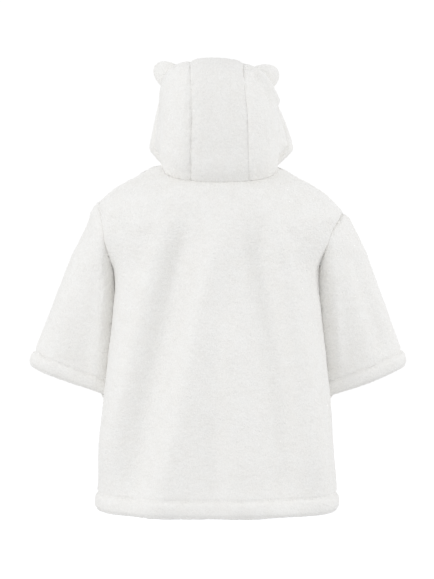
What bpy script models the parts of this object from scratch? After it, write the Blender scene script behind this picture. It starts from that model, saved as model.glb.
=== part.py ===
"""A child's long fleece hoodie with two round ears, hollow and filled out as worn, with no wearer.

Metres, +Z up. The wearer faces -Y, so +X is the wearer's left. The origin is where the wearer's
shoulders hold it: the middle of the neck, level with the tops of the shoulder seams. Each piece that
is cut and sewn on is one wall. Its outer face is a grid of points worked out from sections and lifted
by folds and hems, and its inner face lies a cloth's thickness inside.
"""

import math

import bmesh
import bpy
import numpy as np

# ---------------------------------------------------------------- driving sizes
CLOTH = 0.0040  # thickness of the fleece, its pile included
SEAM_GAP = 0.0004  # pieces stand this far apart where they are sewn
SEAM_DIP = 0.0022  # the stitching draws the cloth in by this much
SEAM_REACH = 0.0085  # and this far from the seam
MOST_MITRE = 1.6  # the most that a wall thickens where two pieces meet at an angle

HEM_HEIGHT = -0.546
HEM_DROP = 0.003  # the hem hangs this much lower in the middle than at its sides
ARMPIT_HEIGHT = -0.171
ARMPIT_X = 0.163
SIDE_SEAM_Y = -0.004
SHOULDER_ROUNDING = 1.8  # over 1 the cloth passes over the shoulder seam in a round, not as a roof
NECK_ROUNDING = 0.9  # the same at the neck seam, which stays low behind and climbs steeply at its sides
NECK_SHIFT = -0.004  # the hood sits this far to the wearer's right
NECK_X = {"left": 0.088, "right": 0.096}  # tops of the shoulder seams
SHOULDER_LIFT = {"left": 0.0005, "right": -0.0015}  # one shoulder sits a little higher
SHOULDER_X = {"left": 0.190, "right": 0.204}  # outer ends of the shoulder seams
ARMHOLE_BOW = {"left": 0.75, "right": 1.6}  # under 1 the armhole bows out, over 1 in
ARMHOLE_DEPTH = {1: 0.056, -1: 0.052}  # reach to the back and to the front
ARMHOLE_FULL = 0.58  # under 1 the armhole is rounder at the armpit
ARMHOLE_TURN = math.radians(30)  # the body's sections stop this short of the side at the armhole

HEM = 0.024  # turned-up hem of the body, and those of the cuffs and of the hood's front edge
CUFF_HEM = 0.022
FACE_HEM = 0.018
HEM_SWELL = 0.0016  # the turned hem stands out by this much
HEM_LAYER = 0.0032  # and in by this much, its second layer
HEM_LIP = 0.0030  # how far its fold is rounded beyond the last row
STITCH_DIP = 0.0020  # the line of stitches over the hem
STITCH_REACH = 0.0030

MIDDLE_BULGE = 0.0055  # the hood's middle strip rounds up between its seams
HOOD_CORNER = 0.54  # where the side panel's back edge becomes its top edge, as a share of the seam
HOOD_SIDE = 0.4  # how far across a side panel its widest line lies, from the middle strip to the face
NECK_FIT = 0.22  # the share of its height over which the hood passes from the neck seam to its own form
CROWN_FIT = 0.45  # and the share from which it passes to the seam of the crown
HOOD_LEAN = 0.05  # the crown is tilted, higher on the wearer's left
HOOD_DRIFT = 0.004  # and stands this much over that side
LEAN_FROM = 0.055  # from this height, growing over the next LEAN_OVER
LEAN_OVER = 0.100

EAR_HEIGHT = {"left": 0.022, "right": 0.020}
EAR_AXIS = (0.80, -0.05, 0.60)  # the way that the left ear stands out
EAR_GAP = 0.0008  # clear of the hood by this much

WHITE = (0.90, 0.88, 0.85, 1.0)

# ---------------------------------------------------------------- grid sizes
HALF_COLUMNS = 12  # columns of the front or back from its middle to its side
STRIP_COLUMNS = 4  # those of them that the hood's middle strip takes at the neck
STRIP_SHARE = STRIP_COLUMNS / HALF_COLUMNS
SKIRT_ROWS = 10
ARMHOLE_ROWS = 10
SHOULDER_ROWS = 7
SLEEVE_ROWS = 11
HOOD_ROWS = 14
EAR_CELLS = 12
EAR_ROWS = {"left": (10.1, 13.0), "right": (10.7, 13.6)}  # the side panel's rows that an ear stands on
EAR_COLUMNS = {"left": (7.5, 10.2), "right": (6.9, 9.6)}  # and the columns


def table(columns, *rows):
    """A table as arrays by column name."""
    return dict(zip(columns.split(), np.array(rows, float).T))


# Sections of the body up to the armpit.
SKIRT = table(
    "height half_width back front square",
    (-0.546, 0.1925, 0.108, 0.106, 0.040),
    (-0.456, 0.1870, 0.107, 0.104, 0.045),
    (-0.363, 0.1800, 0.105, 0.101, 0.050),
    (-0.270, 0.1700, 0.101, 0.097, 0.055),
    (-0.200, 0.1635, 0.098, 0.093, 0.060),
    (-0.171, 0.1630, 0.097, 0.091, 0.060),
)

# The middle line of the back and of the front above it. Row 1 is level with the armpit, 2 with the
# shoulder point and 3 with the neck.
CHEST = table(
    "row back_height back front_height front square",
    (1.0, -0.171, 0.097, -0.171, 0.091, 0.060),
    (1.5, -0.130, 0.097, -0.137, 0.089, 0.035),
    (2.0, -0.092, 0.094, -0.107, 0.085, 0.030),
    (2.5, -0.058, 0.088, -0.080, 0.080, 0.015),
    (3.0, -0.029, 0.079, -0.056, 0.075, 0.000),
)

# The shoulder line from the neck outward.
SHOULDER_LINE = table(
    "x height",
    (0.080, 0.0068),
    (0.092, 0.0032),
    (0.106, -0.0013),
    (0.121, -0.0095),
    (0.136, -0.0192),
    (0.151, -0.0278),
    (0.165, -0.0375),
    (0.181, -0.0495),
    (0.194, -0.0615),
    (0.205, -0.0740),
)

# Half the hood's section: where its side is widest, and its front edge.
HOOD_SECTIONS = table(
    "share side_x side_y side_z front_left front_right front_y front_z",
    (0.00, 0.092, -0.004, 0.000, 0.000, 0.000, -0.075, -0.056),
    (0.08, 0.0955, -0.004, 0.012, 0.034, 0.034, -0.080, -0.032),
    (0.17, 0.0965, -0.005, 0.026, 0.071, 0.073, -0.085, -0.008),
    (0.24, 0.0965, -0.006, 0.039, 0.092, 0.096, -0.088, 0.008),
    (0.29, 0.0965, -0.006, 0.048, 0.105, 0.110, -0.089, 0.020),
    (0.34, 0.0963, -0.007, 0.057, 0.1145, 0.1205, -0.090, 0.031),
    (0.40, 0.0958, -0.007, 0.068, 0.1135, 0.1190, -0.091, 0.044),
    (0.52, 0.0950, -0.008, 0.085, 0.1070, 0.1105, -0.093, 0.070),
    (0.70, 0.0930, -0.008, 0.116, 0.0930, 0.0945, -0.097, 0.108),
    (0.82, 0.0860, -0.005, 0.139, 0.0790, 0.0790, -0.099, 0.131),
    (0.92, 0.0690, 0.004, 0.155, 0.0610, 0.0610, -0.100, 0.142),
    (1.00, 0.0430, 0.012, 0.165, 0.0430, 0.0430, -0.100, 0.147),
)

# The seam between the hood's middle strip and a side panel, from nape to forehead.
HOOD_SEAM = table(
    "x y z",
    (0.0460, 0.068, -0.025),
    (0.0455, 0.084, -0.010),
    (0.0445, 0.091, 0.022),
    (0.0435, 0.093, 0.066),
    (0.0430, 0.088, 0.108),
    (0.0430, 0.075, 0.136),
    (0.0430, 0.050, 0.154),
    (0.0430, 0.012, 0.165),
    (0.0430, -0.040, 0.163),
    (0.0430, -0.100, 0.147),
)

# Long soft folds. Each runs over the cloth from x0, z0 to x1, z1 as seen from behind or in front.
FOLDS = {
    "back": table(
        "x0 z0 x1 z1 bow width0 width1 rise",
        (0.100, -0.095, 0.160, -0.480, 0.004, 0.020, 0.026, 0.0060),
        (0.040, -0.100, 0.140, -0.530, 0.006, 0.018, 0.034, -0.0065),
        (-0.012, -0.110, -0.006, -0.360, 0.000, 0.020, 0.030, 0.0050),
        (0.040, -0.350, 0.062, -0.556, 0.000, 0.024, 0.032, 0.0050),
        (0.006, -0.350, -0.004, -0.556, 0.000, 0.018, 0.022, -0.0030),
        (-0.050, -0.340, -0.064, -0.556, 0.000, 0.024, 0.028, 0.0050),
        (-0.052, -0.095, -0.122, -0.530, -0.010, 0.018, 0.030, -0.0070),
        (-0.128, -0.110, -0.152, -0.420, 0.000, 0.020, 0.026, 0.0045),
        (0.020, -0.048, -0.030, -0.052, 0.000, 0.016, 0.016, -0.0035),
    ),
    "front": table(
        "x0 z0 x1 z1 bow width0 width1 rise",
        (0.090, -0.110, 0.146, -0.520, 0.004, 0.020, 0.030, 0.0055),
        (0.046, -0.120, 0.092, -0.540, 0.000, 0.018, 0.030, -0.0060),
        (0.006, -0.150, 0.030, -0.540, 0.000, 0.020, 0.030, 0.0050),
        (-0.036, -0.120, -0.050, -0.540, 0.000, 0.018, 0.028, -0.0055),
        (-0.086, -0.110, -0.112, -0.530, 0.000, 0.020, 0.030, 0.0060),
        (-0.130, -0.170, -0.160, -0.500, 0.000, 0.018, 0.024, -0.0040),
    ),
    "sleeve_left": table(
        "x0 z0 x1 z1 bow width0 width1 rise",
        (0.196, -0.150, 0.222, -0.340, 0.000, 0.012, 0.020, 0.0040),
        (0.206, -0.110, 0.258, -0.330, 0.000, 0.012, 0.020, -0.0040),
        (0.180, -0.180, 0.192, -0.330, 0.000, 0.010, 0.014, -0.0030),
    ),
    "sleeve_right": table(
        "x0 z0 x1 z1 bow width0 width1 rise",
        (-0.194, -0.140, -0.214, -0.330, 0.000, 0.012, 0.018, -0.0035),
        (-0.212, -0.120, -0.246, -0.330, 0.000, 0.012, 0.020, 0.0040),
        (-0.226, -0.110, -0.282, -0.320, 0.000, 0.012, 0.018, -0.0030),
    ),
    "hood_left": table(
        "x0 z0 x1 z1 bow width0 width1 rise",
        (0.080, 0.115, 0.086, 0.010, 0.000, 0.016, 0.020, 0.0020),
    ),
    "hood_right": table(
        "x0 z0 x1 z1 bow width0 width1 rise",
        (-0.068, 0.152, -0.096, 0.092, 0.003, 0.006, 0.006, 0.0040),
        (-0.062, 0.140, -0.086, 0.098, 0.003, 0.006, 0.006, -0.0040),
        (-0.058, 0.080, -0.060, -0.010, 0.000, 0.012, 0.014, 0.0025),
    ),
}


# ---------------------------------------------------------------- curves
def smooth(xs, ys, at):
    """A cubic through (xs, ys), with each point's slope taken from its neighbours."""
    at = np.clip(at, xs[0], xs[-1])
    i = np.clip(np.searchsorted(xs, at, "right") - 1, 0, len(xs) - 2)
    slope = np.gradient(ys, xs)
    step = xs[i + 1] - xs[i]
    s = (at - xs[i]) / step
    rise = 3 * s**2 - 2 * s**3
    lean = (s**3 - 2 * s**2 + s) * slope[i] + (s**3 - s**2) * slope[i + 1]
    return ys[i] + (ys[i + 1] - ys[i]) * rise + lean * step


def ease(s):
    s = np.clip(s, 0, 1)
    return s * s * (3 - 2 * s)


def unit(v):
    return v / np.maximum(np.linalg.norm(v, axis=-1, keepdims=True), 1e-12)


def across_of(turn, square):
    """Reach to the side of a rounded section at an angle from its middle; square 0 is an ellipse."""
    return (np.sin(turn) + square * np.sin(3 * turn)) / (1 - square)


def depth_of(turn, square):
    return (np.cos(turn) - square * np.cos(3 * turn)) / (1 - square)


# ---------------------------------------------------------------- body
def armhole_reach(climb):
    """The armhole's reach to the back or front, as a share of its most, from armpit to shoulder."""
    full = ARMHOLE_FULL + (1 - ARMHOLE_FULL) * np.clip(2 * climb, 0, 1)
    return np.sin(math.pi * np.clip(climb, 0, 1)) ** full


def body_edge(row, hand, side):
    """The edge of the front or back: side seam to row 1, armhole to row 2, shoulder seam to row 3."""
    skirt_z = HEM_HEIGHT + (ARMPIT_HEIGHT - HEM_HEIGHT) * np.clip(row, 0, 1)
    skirt_x = smooth(SKIRT["height"], SKIRT["half_width"], skirt_z)
    shoulder_x = SHOULDER_X[hand]
    shoulder_z = smooth(SHOULDER_LINE["x"], SHOULDER_LINE["height"], shoulder_x) + SHOULDER_LIFT[hand]
    climb = np.clip(row, 1, 2) - 1
    hole_x = ARMPIT_X + (shoulder_x - ARMPIT_X) * climb ** ARMHOLE_BOW[hand]
    hole_y = SIDE_SEAM_Y + side * ARMHOLE_DEPTH[side] * armhole_reach(climb)
    hole_z = ARMPIT_HEIGHT + (shoulder_z - ARMPIT_HEIGHT) * climb
    ridge_x = shoulder_x + (NECK_X[hand] - shoulder_x) * (np.clip(row, 2, 3) - 2)
    ridge_z = smooth(SHOULDER_LINE["x"], SHOULDER_LINE["height"], ridge_x) + SHOULDER_LIFT[hand]
    x = np.where(row <= 1, skirt_x, np.where(row <= 2, hole_x, ridge_x))
    y = np.where((row > 1) & (row < 2), hole_y, SIDE_SEAM_Y)
    z = np.where(row <= 1, skirt_z, np.where(row <= 2, hole_z, ridge_z))
    return x, y, z


def body_surface(across, row, side):
    """Points of the back (side 1) or front (side -1). across runs from -1, the wearer's right, to 1."""
    across, row = np.broadcast_arrays(np.asarray(across, float), np.asarray(row, float))
    name = "back" if side > 0 else "front"
    skirt_z = HEM_HEIGHT + (ARMPIT_HEIGHT - HEM_HEIGHT) * np.clip(row, 0, 1)
    chest = np.clip(row, 1, 3)
    low = row <= 1
    middle_z = np.where(low, skirt_z, smooth(CHEST["row"], CHEST[name + "_height"], chest))
    skirt_depth = smooth(SKIRT["height"], SKIRT[name], skirt_z)
    skirt_square = smooth(SKIRT["height"], SKIRT["square"], skirt_z)
    depth = np.where(low, skirt_depth, smooth(CHEST["row"], CHEST[name], chest))
    square = np.where(low, skirt_square, smooth(CHEST["row"], CHEST["square"], chest))
    last_turn = math.pi / 2 - ARMHOLE_TURN * armhole_reach(np.clip(row - 1, 0, 1))
    turn = np.abs(across) * last_turn
    reach = across_of(turn, square) / across_of(last_turn, square)
    rest = depth_of(last_turn, square)
    fall = (depth_of(turn, square) - rest) / (1 - rest)
    left = np.stack(body_edge(row, "left", side), -1)
    right = np.stack(body_edge(row, "right", side), -1)
    edge = np.where((across >= 0)[..., None], left, right)
    middle_x = NECK_SHIFT * ease((row - 1) / 2)
    x = middle_x + np.sign(across) * (edge[..., 0] - np.sign(across) * middle_x) * reach
    y = edge[..., 1] + (side * depth - edge[..., 1]) * fall
    middle_z = middle_z - HEM_DROP * (1 - ease(row))
    rounding = SHOULDER_ROUNDING + (NECK_ROUNDING - SHOULDER_ROUNDING) * ease(row - 2)
    z = edge[..., 2] + (middle_z - edge[..., 2]) * fall**rounding
    return np.stack([x, y, z], -1)


def body_half_width(y, z):
    """How far the plain body reaches to the side at a depth and a height below the armpit."""
    side = np.where(y > SIDE_SEAM_Y, 1, -1)
    back = smooth(SKIRT["height"], SKIRT["back"], z)
    front = smooth(SKIRT["height"], SKIRT["front"], z)
    depth = np.where(side > 0, back, front)
    share = np.clip((y - SIDE_SEAM_Y) / (side * depth - SIDE_SEAM_Y), 0, 1)
    square = smooth(SKIRT["height"], SKIRT["square"], z)
    turn = np.arccos(share)
    for _ in range(6):
        slope = (np.sin(turn) - 3 * square * np.sin(3 * turn)) / (1 - square)
        turn = np.clip(turn + (depth_of(turn, square) - share) / np.maximum(slope, 0.2), 0, math.pi / 2)
    return smooth(SKIRT["height"], SKIRT["half_width"], z) * across_of(turn, square)


# ---------------------------------------------------------------- sleeves
SLEEVE_LENGTH = 0.26
CUFF_CENTRE = {"left": (0.2235, -0.058, -0.3465), "right": (0.2265, -0.058, -0.3455)}
CUFF_OUT = (0.081, 0.0, 0.0285)  # from the cuff's middle to its outermost point
CUFF_BACK = {"left": (0.006, 0.050, -0.003), "right": (0.006, 0.050, -0.006)}  # and to its back
CUFF_FULL = 0.60  # under 1 the cuff's section is squarer behind, beside the body
SHOULDER_ROUND = (0.0045, 0.0, 0.0020)  # how far the sleeve's top stands out past the shoulder point
UNDERARM_ROUND = -0.006  # how far its underside would sag towards the body from a straight line
SLEEVE_CLEAR = 0.0022  # the sleeve rests this close to the body
SLEEVE_FORWARD = 0.05  # and further off in front and behind, by this share of the way
SLEEVE_SOFT = 0.002  # and bends round it this softly


def rest_on_body(point, along):
    """Points of the left sleeve, with those that would be in the body, or nearly, laid on its side."""
    x, y, z = point[..., 0], point[..., 1], point[..., 2]
    clear = (SLEEVE_CLEAR + SLEEVE_FORWARD * np.abs(y - SIDE_SEAM_Y)) * ease(along / 0.12)
    least = body_half_width(y, np.minimum(z, ARMPIT_HEIGHT)) + clear
    over = x - least
    rested = least + (over + np.sqrt(over**2 + SLEEVE_SOFT**2)) / 2
    below = ease((ARMPIT_HEIGHT + 0.012 - z) / 0.024) * ease(along / 0.05)
    return np.stack([x + (rested - x) * below, y, z], -1)


def sleeve_surface(around, along, hand):
    """Points of a sleeve. around runs 0 to 1 from the armpit by back, shoulder and front, and along
    runs 0 to 1 from armhole to cuff."""
    around, along = np.broadcast_arrays(np.asarray(around, float), np.asarray(along, float))
    behind = around <= 0.5
    row = np.where(behind, 1 + 2 * around, 3 - 2 * around)
    back_edge = np.stack(body_edge(row, hand, 1), -1)
    front_edge = np.stack(body_edge(row, hand, -1), -1)
    start = np.where(behind[..., None], back_edge, front_edge)
    turn = 2 * math.pi * around - math.pi / 2
    up = np.sin(turn)[..., None]
    back = np.cos(turn)[..., None]
    under = (up < 0) & (back > 0)
    end = np.array(CUFF_CENTRE[hand]) + np.array(CUFF_OUT) * np.where(under, -(np.abs(up) ** CUFF_FULL), up)
    end = end + np.array(CUFF_BACK[hand]) * np.where(under, np.abs(back) ** CUFF_FULL, back)
    share = along[..., None]
    point = start + (end - start) * share
    point = point + np.array(SHOULDER_ROUND) * np.sin(math.pi * share**0.45) * np.maximum(up, 0) ** 2
    sag = UNDERARM_ROUND * np.sin(math.pi * np.sqrt(share)) * np.maximum(-up, 0) ** 2
    point = rest_on_body(point + sag * np.array((1.0, 0.0, 0.0)), along)
    return point * np.array((1.0 if hand == "left" else -1.0, 1.0, 1.0))


# ---------------------------------------------------------------- hood
def hood_seam(share):
    """The seam beside the middle strip, from nape to forehead, at a share of its length."""
    points = np.stack([HOOD_SEAM["x"], HOOD_SEAM["y"], HOOD_SEAM["z"]], -1)
    steps = np.linalg.norm(np.diff(points, axis=0), axis=1)
    at = np.concatenate([[0], np.cumsum(steps)]) / steps.sum()
    return np.stack([smooth(at, points[:, k], np.asarray(share, float)) for k in range(3)], -1)


def neckline(around, hand):
    """The neck seam: around runs from 0 at the nape by 1 at the shoulder to 2 at the throat."""
    hand_sign = 1.0 if hand == "left" else -1.0
    around = np.asarray(around, float)
    back = body_surface(hand_sign * np.clip(around, 0, 1), 3.0, 1)
    front = body_surface(hand_sign * np.clip(2 - around, 0, 1), 3.0, -1)
    return np.where((around <= 1)[..., None], back, front)


def hood_shift(hand):
    """What takes the left half's coordinates, measured from the hood's middle, to those of either half."""
    return np.array((1.0 if hand == "left" else -1.0, 1.0, 1.0)), np.array((NECK_SHIFT, 0.0, 0.0))


def lean(points):
    """The hood stands a little higher on the wearer's left, and its crown sits over that side."""
    share = ease((points[..., 2] - LEAN_FROM) / LEAN_OVER)
    up = HOOD_LEAN * points[..., 0] * share
    return points + np.stack([HOOD_DRIFT * share, 0 * share, up], -1)


def hood_line(names, up):
    """A line up the hood, from three columns of its table of sections."""
    return np.stack([smooth(HOOD_SECTIONS["share"], HOOD_SECTIONS[k], up) for k in names], -1)


def hood_plain(across, up, hand):
    """A hood side before its edges are fitted to the neck and to the crown seam: a quarter round from
    the middle strip to its widest line, and a curve that flares out from there to the face."""
    back = hood_seam(up * HOOD_CORNER)
    side = hood_line(("side_x", "side_y", "side_z"), up)
    front = hood_line((f"front_{hand}", "front_y", "front_z"), up)
    turn = (np.clip(across / HOOD_SIDE, 0, 1) * math.pi / 2)[..., None]
    forward = np.clip((across - HOOD_SIDE) / (1 - HOOD_SIDE), 0, 1)[..., None]
    outward = np.array((1.0, 0.0, 0.0))
    level = 1 - outward
    behind = side + (back - side) * (outward * (1 - np.sin(turn)) + level * np.cos(turn))
    ahead = side + (front - side) * (outward * forward**2 + level * forward)
    return np.where((across <= HOOD_SIDE)[..., None], behind, ahead)


def hood_side_surface(across, up, hand):
    """Points of a side panel. across runs from the middle strip to the face, up from neck to crown."""
    across, up = np.broadcast_arrays(np.asarray(across, float), np.asarray(up, float))
    flip, shift = hood_shift(hand)
    plain = hood_plain(across, up, hand)
    behind = STRIP_SHARE + (1 - STRIP_SHARE) * across / HOOD_SIDE
    ahead = 1 + (across - HOOD_SIDE) / (1 - HOOD_SIDE)
    neck = (neckline(np.where(across <= HOOD_SIDE, behind, ahead), hand) - shift) * flip
    crown = hood_seam(HOOD_CORNER + (1 - HOOD_CORNER) * across)
    to_neck = (1 - ease(up / NECK_FIT))[..., None]
    to_crown = ease((up - CROWN_FIT) / (1 - CROWN_FIT))[..., None]
    fitted = plain + (neck - hood_plain(across, np.zeros_like(up), hand)) * to_neck
    fitted = fitted + (crown - hood_plain(across, np.ones_like(up), hand)) * to_crown
    return lean(fitted * flip + shift)


def strip_plain(across, along):
    """The middle strip before it is fitted to the neck: across its two seams, rounded up between them."""
    step = 1e-3
    run = hood_seam(np.clip(along + step, 0, 1)) - hood_seam(np.clip(along - step, 0, 1))
    outward = unit(np.stack([np.zeros_like(along), run[..., 2], -run[..., 1]], -1))
    between = np.stack([across, np.ones_like(across), np.ones_like(across)], -1)
    round_up = outward * (MIDDLE_BULGE * (1 - across**2))[..., None]
    return hood_seam(along) * between + round_up + np.array((NECK_SHIFT, 0.0, 0.0))


def hood_strip_surface(across, along):
    """Points of the middle strip. across runs from -1 to 1, along from nape to forehead."""
    across, along = np.broadcast_arrays(np.asarray(across, float), np.asarray(along, float))
    around = np.abs(across) * STRIP_SHARE
    nape = np.where((across >= 0)[..., None], neckline(around, "left"), neckline(around, "right"))
    to_neck = (1 - ease(along / (NECK_FIT * HOOD_CORNER)))[..., None]
    start = strip_plain(across, np.zeros_like(along))
    return lean(strip_plain(across, along) + (nape - start) * to_neck)


# ---------------------------------------------------------------- relief
def fold_relief(points, folds):
    """How far the folds of one table lift each point."""
    x, z = points[..., 0], points[..., 2]
    total = np.zeros_like(x)
    for x0, z0, x1, z1, bow, width0, width1, rise in zip(*folds.values()):
        length = math.hypot(x1 - x0, z1 - z0)
        along = ((x - x0) * (x1 - x0) + (z - z0) * (z1 - z0)) / length**2
        off = ((x - x0) * (z1 - z0) - (z - z0) * (x1 - x0)) / length
        inside = np.clip(along, 0, 1)
        off = off - 4 * bow * inside * (1 - inside)
        width = width0 + (width1 - width0) * inside
        ends = ease(along / 0.25 + 0.5) * ease((1 - along) / 0.25 + 0.5)
        total = total + rise * np.exp(-((off / width) ** 2)) * ends
    return total


def dip(distance, depth, reach):
    return -depth * np.exp(-((distance / reach) ** 2))


def hem_relief(distance, hem):
    """A turned hem: it stands out a little up to its line of stitches, which draws the cloth in."""
    swell = HEM_SWELL * (1 - ease((distance - hem * 0.75) / (hem * 0.25)))
    return swell + dip(distance - hem, STITCH_DIP, STITCH_REACH)


def hem_layer(distance, hem):
    return HEM_LAYER * (1 - ease((distance - hem * 0.8) / (hem * 0.2)))


def hem_stations(hem, length, rows):
    """Distances from a hem's fold at which rows lie, then evenly spaced ones to the far end."""
    near = [0.0, 0.15 * hem, 0.55 * hem, 0.85 * hem, hem, 1.15 * hem, 1.5 * hem]
    return np.array(near + list(np.linspace(1.5 * hem, length, rows + 1)[1:]))


# ---------------------------------------------------------------- walls
class Panel:
    """The grid of one piece: rows by columns of points, the lift of the cloth at each, and what is
    added there outside and inside."""

    def __init__(self, name, points, lift, swell, layer, closed=False, lip=None, facing=1):
        self.name = name
        self.base = points
        self.lift = lift
        self.swell = swell
        self.layer = layer
        self.closed = closed
        self.lip = lip  # which edge is folded: "first row", "last row" or "last column"
        self.weighed = self.corner_normals() * facing
        self.normal = unit(self.weighed)
        self.mitre = np.ones(points.shape[:2])
        self.shift = np.zeros_like(points)

    def corner_normals(self):
        """At each point, the sum of the normals of the cells round it, each times its angle there."""
        points = np.concatenate([self.base, self.base[:, :1]], 1) if self.closed else self.base
        corners = [points[:-1, :-1], points[:-1, 1:], points[1:, 1:], points[1:, :-1]]
        cell = unit(np.cross(corners[2] - corners[0], corners[3] - corners[1]))
        total = np.zeros_like(points)
        places = [(slice(None, -1), slice(None, -1)), (slice(None, -1), slice(1, None))]
        places += [(slice(1, None), slice(1, None)), (slice(1, None), slice(None, -1))]
        for k, place in enumerate(places):
            one = unit(corners[(k + 1) % 4] - corners[k])
            other = unit(corners[k - 1] - corners[k])
            angle = np.arccos(np.clip((one * other).sum(-1), -1, 1))
            total[place] += cell * angle[..., None]
        if self.closed:
            total[:, 0] += total[:, -1]
            total = total[:, :-1]
        return total

    def border(self):
        """Indices of the points on the piece's edges."""
        rows, columns = self.base.shape[:2]
        for i in range(rows):
            for j in range(columns):
                if i in (0, rows - 1) or (not self.closed and j in (0, columns - 1)):
                    yield i, j

    def outer(self):
        return self.base + self.normal * (self.lift + self.swell)[..., None] + self.shift

    def inner(self):
        height = self.lift - CLOTH * self.mitre - self.layer
        return self.base + self.normal * height[..., None] + self.shift


def sew(panels):
    """Gives pieces that share a point of a seam one normal and one mitre there, and parts them there."""
    shared = {}
    for panel in panels:
        for i, j in panel.border():
            shared.setdefault(place(panel, i, j), []).append((panel, i, j))
    for members in shared.values():
        if len({id(p) for p, _, _ in members}) < 2:
            continue
        normal = unit(sum(p.weighed[i, j] for p, i, j in members))
        cosine = np.mean([float(normal @ p.normal[i, j]) for p, i, j in members])
        heights = np.mean([(p.lift[i, j], p.swell[i, j], p.layer[i, j]) for p, i, j in members], 0)
        for panel, i, j in members:
            panel.shift[i, j] = inward(panel, i, j, normal) * SEAM_GAP / 2
            panel.lift[i, j], panel.swell[i, j], panel.layer[i, j] = heights
            panel.mitre[i, j] = min(1 / max(cosine, 0.1), MOST_MITRE)
        for panel, i, j in members:
            panel.normal[i, j] = normal


def inward(panel, i, j, normal):
    """The way into the piece from a point of its edge, square to its edges there and to their normal."""
    rows, columns = panel.base.shape[:2]
    here = panel.base[i, j]
    ways = []
    if i in (0, rows - 1):
        beside = (j + 1) % columns if panel.closed or j + 1 < columns else j - 1
        ways.append(((1 if i == 0 else rows - 2, j), (i, beside)))
    if not panel.closed and j in (0, columns - 1):
        beside = i + 1 if i + 1 < rows else i - 1
        ways.append(((i, 1 if j == 0 else columns - 2), (beside, j)))
    total = np.zeros(3)
    for inside, next_to in ways:
        edge = unit(panel.base[next_to] - here)
        step = panel.base[inside] - here
        step = step - edge * (step @ edge)
        total = total + unit(step - normal * (step @ normal))
    return total


def place(panel, i, j):
    """Where a grid point is, in a form that is the same for every piece that has it."""
    return tuple(float(v) for v in np.round(panel.base[i, j], 6))


def halve(mesh, quad, first=True):
    """Two triangles of a four-cornered face, split through its first corner or its second."""
    if not first:
        quad = quad[1:] + quad[:1]
    mesh.faces.new((quad[0], quad[1], quad[2]))
    mesh.faces.new((quad[0], quad[2], quad[3]))


def wall(panel):
    """The closed solid of a piece: outer face, inner face and the edges between them."""
    outer, inner = panel.outer(), panel.inner()
    rows, columns = outer.shape[:2]
    mesh = bmesh.new()
    out = [[mesh.verts.new(outer[i, j]) for j in range(columns)] for i in range(rows)]
    back = [[mesh.verts.new(inner[i, j]) for j in range(columns)] for i in range(rows)]
    spans = columns if panel.closed else columns - 1
    for i in range(rows - 1):
        for j in range(spans):
            k = (j + 1) % columns
            at_corner = (i, j) in ((rows - 2, 0), (0, spans - 1)) and not panel.closed
            halve(mesh, [out[i][j], out[i][k], out[i + 1][k], out[i + 1][j]], not at_corner)
            halve(mesh, [back[i][k], back[i + 1][k], back[i + 1][j], back[i][j]])
    if panel.closed:
        start = [(0, j % columns) for j in range(columns + 1)]
        end = [(rows - 1, j % columns) for j in range(columns, -1, -1)]
        edges = [start, end]
    else:
        loop = [(0, j) for j in range(columns)]
        loop += [(i, columns - 1) for i in range(1, rows)]
        loop += [(rows - 1, j) for j in range(columns - 2, -1, -1)]
        loop += [(i, 0) for i in range(rows - 2, -1, -1)]
        edges = [loop]
    for loop in edges:
        lip = {}
        for i, j in dict.fromkeys(loop):
            beyond = fold_reach(panel, i, j)
            if beyond is not None:
                lip[i, j] = mesh.verts.new((outer[i, j] + inner[i, j]) / 2 + beyond)
        for (a, b), (c, d) in zip(loop, loop[1:]):
            first = [out[a][b], *([lip[a, b]] if (a, b) in lip else []), back[a][b]]
            second = [out[c][d], *([lip[c, d]] if (c, d) in lip else []), back[c][d]]
            if len(first) == len(second):
                for m in range(len(first) - 1):
                    quad = [first[m], first[m + 1], second[m + 1], second[m]]
                    halve(mesh, quad, place(panel, a, b) < place(panel, c, d))
            else:
                mesh.faces.new(first + second[::-1])
    made = bpy.data.meshes.new(panel.name)
    bmesh.ops.recalc_face_normals(mesh, faces=mesh.faces)
    mesh.to_mesh(made)
    mesh.free()
    return add_object(panel.name, made)


def fold_reach(panel, i, j):
    """How far, and which way, a folded edge is rounded beyond its last row, or None on other edges."""
    rows, columns = panel.base.shape[:2]
    if panel.lip == "first row" and i == 0:
        return unit(panel.base[0, j] - panel.base[1, j]) * HEM_LIP
    if panel.lip == "last row" and i == rows - 1:
        return unit(panel.base[i, j] - panel.base[i - 1, j]) * HEM_LIP
    if panel.lip == "last column" and j == columns - 1 and i > 0:
        return unit(panel.base[i, j] - panel.base[i, j - 1]) * HEM_LIP * hem_start(i)
    return None


def hem_start(row):
    """The hood's front hem grows to its full size over its first rows above the neck seam."""
    return ease(row / 3)


def add_object(name, mesh):
    made = bpy.data.objects.new(name, mesh)
    bpy.context.scene.collection.objects.link(made)
    mesh.materials.append(fleece())
    mesh.shade_smooth()
    mesh.set_sharp_from_angle(angle=math.radians(50))
    return made


def fleece():
    """Off-white fleece, matt."""
    material = bpy.data.materials.get("fleece")
    if material is None:
        material = bpy.data.materials.new("fleece")
        material.use_nodes = True
        shader = material.node_tree.nodes["Principled BSDF"]
        shader.inputs["Base Color"].default_value = WHITE
        shader.inputs["Roughness"].default_value = 0.95
        shader.inputs["Metallic"].default_value = 0.0
        shader.inputs["Sheen Weight"].default_value = 0.3
    return material


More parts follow.
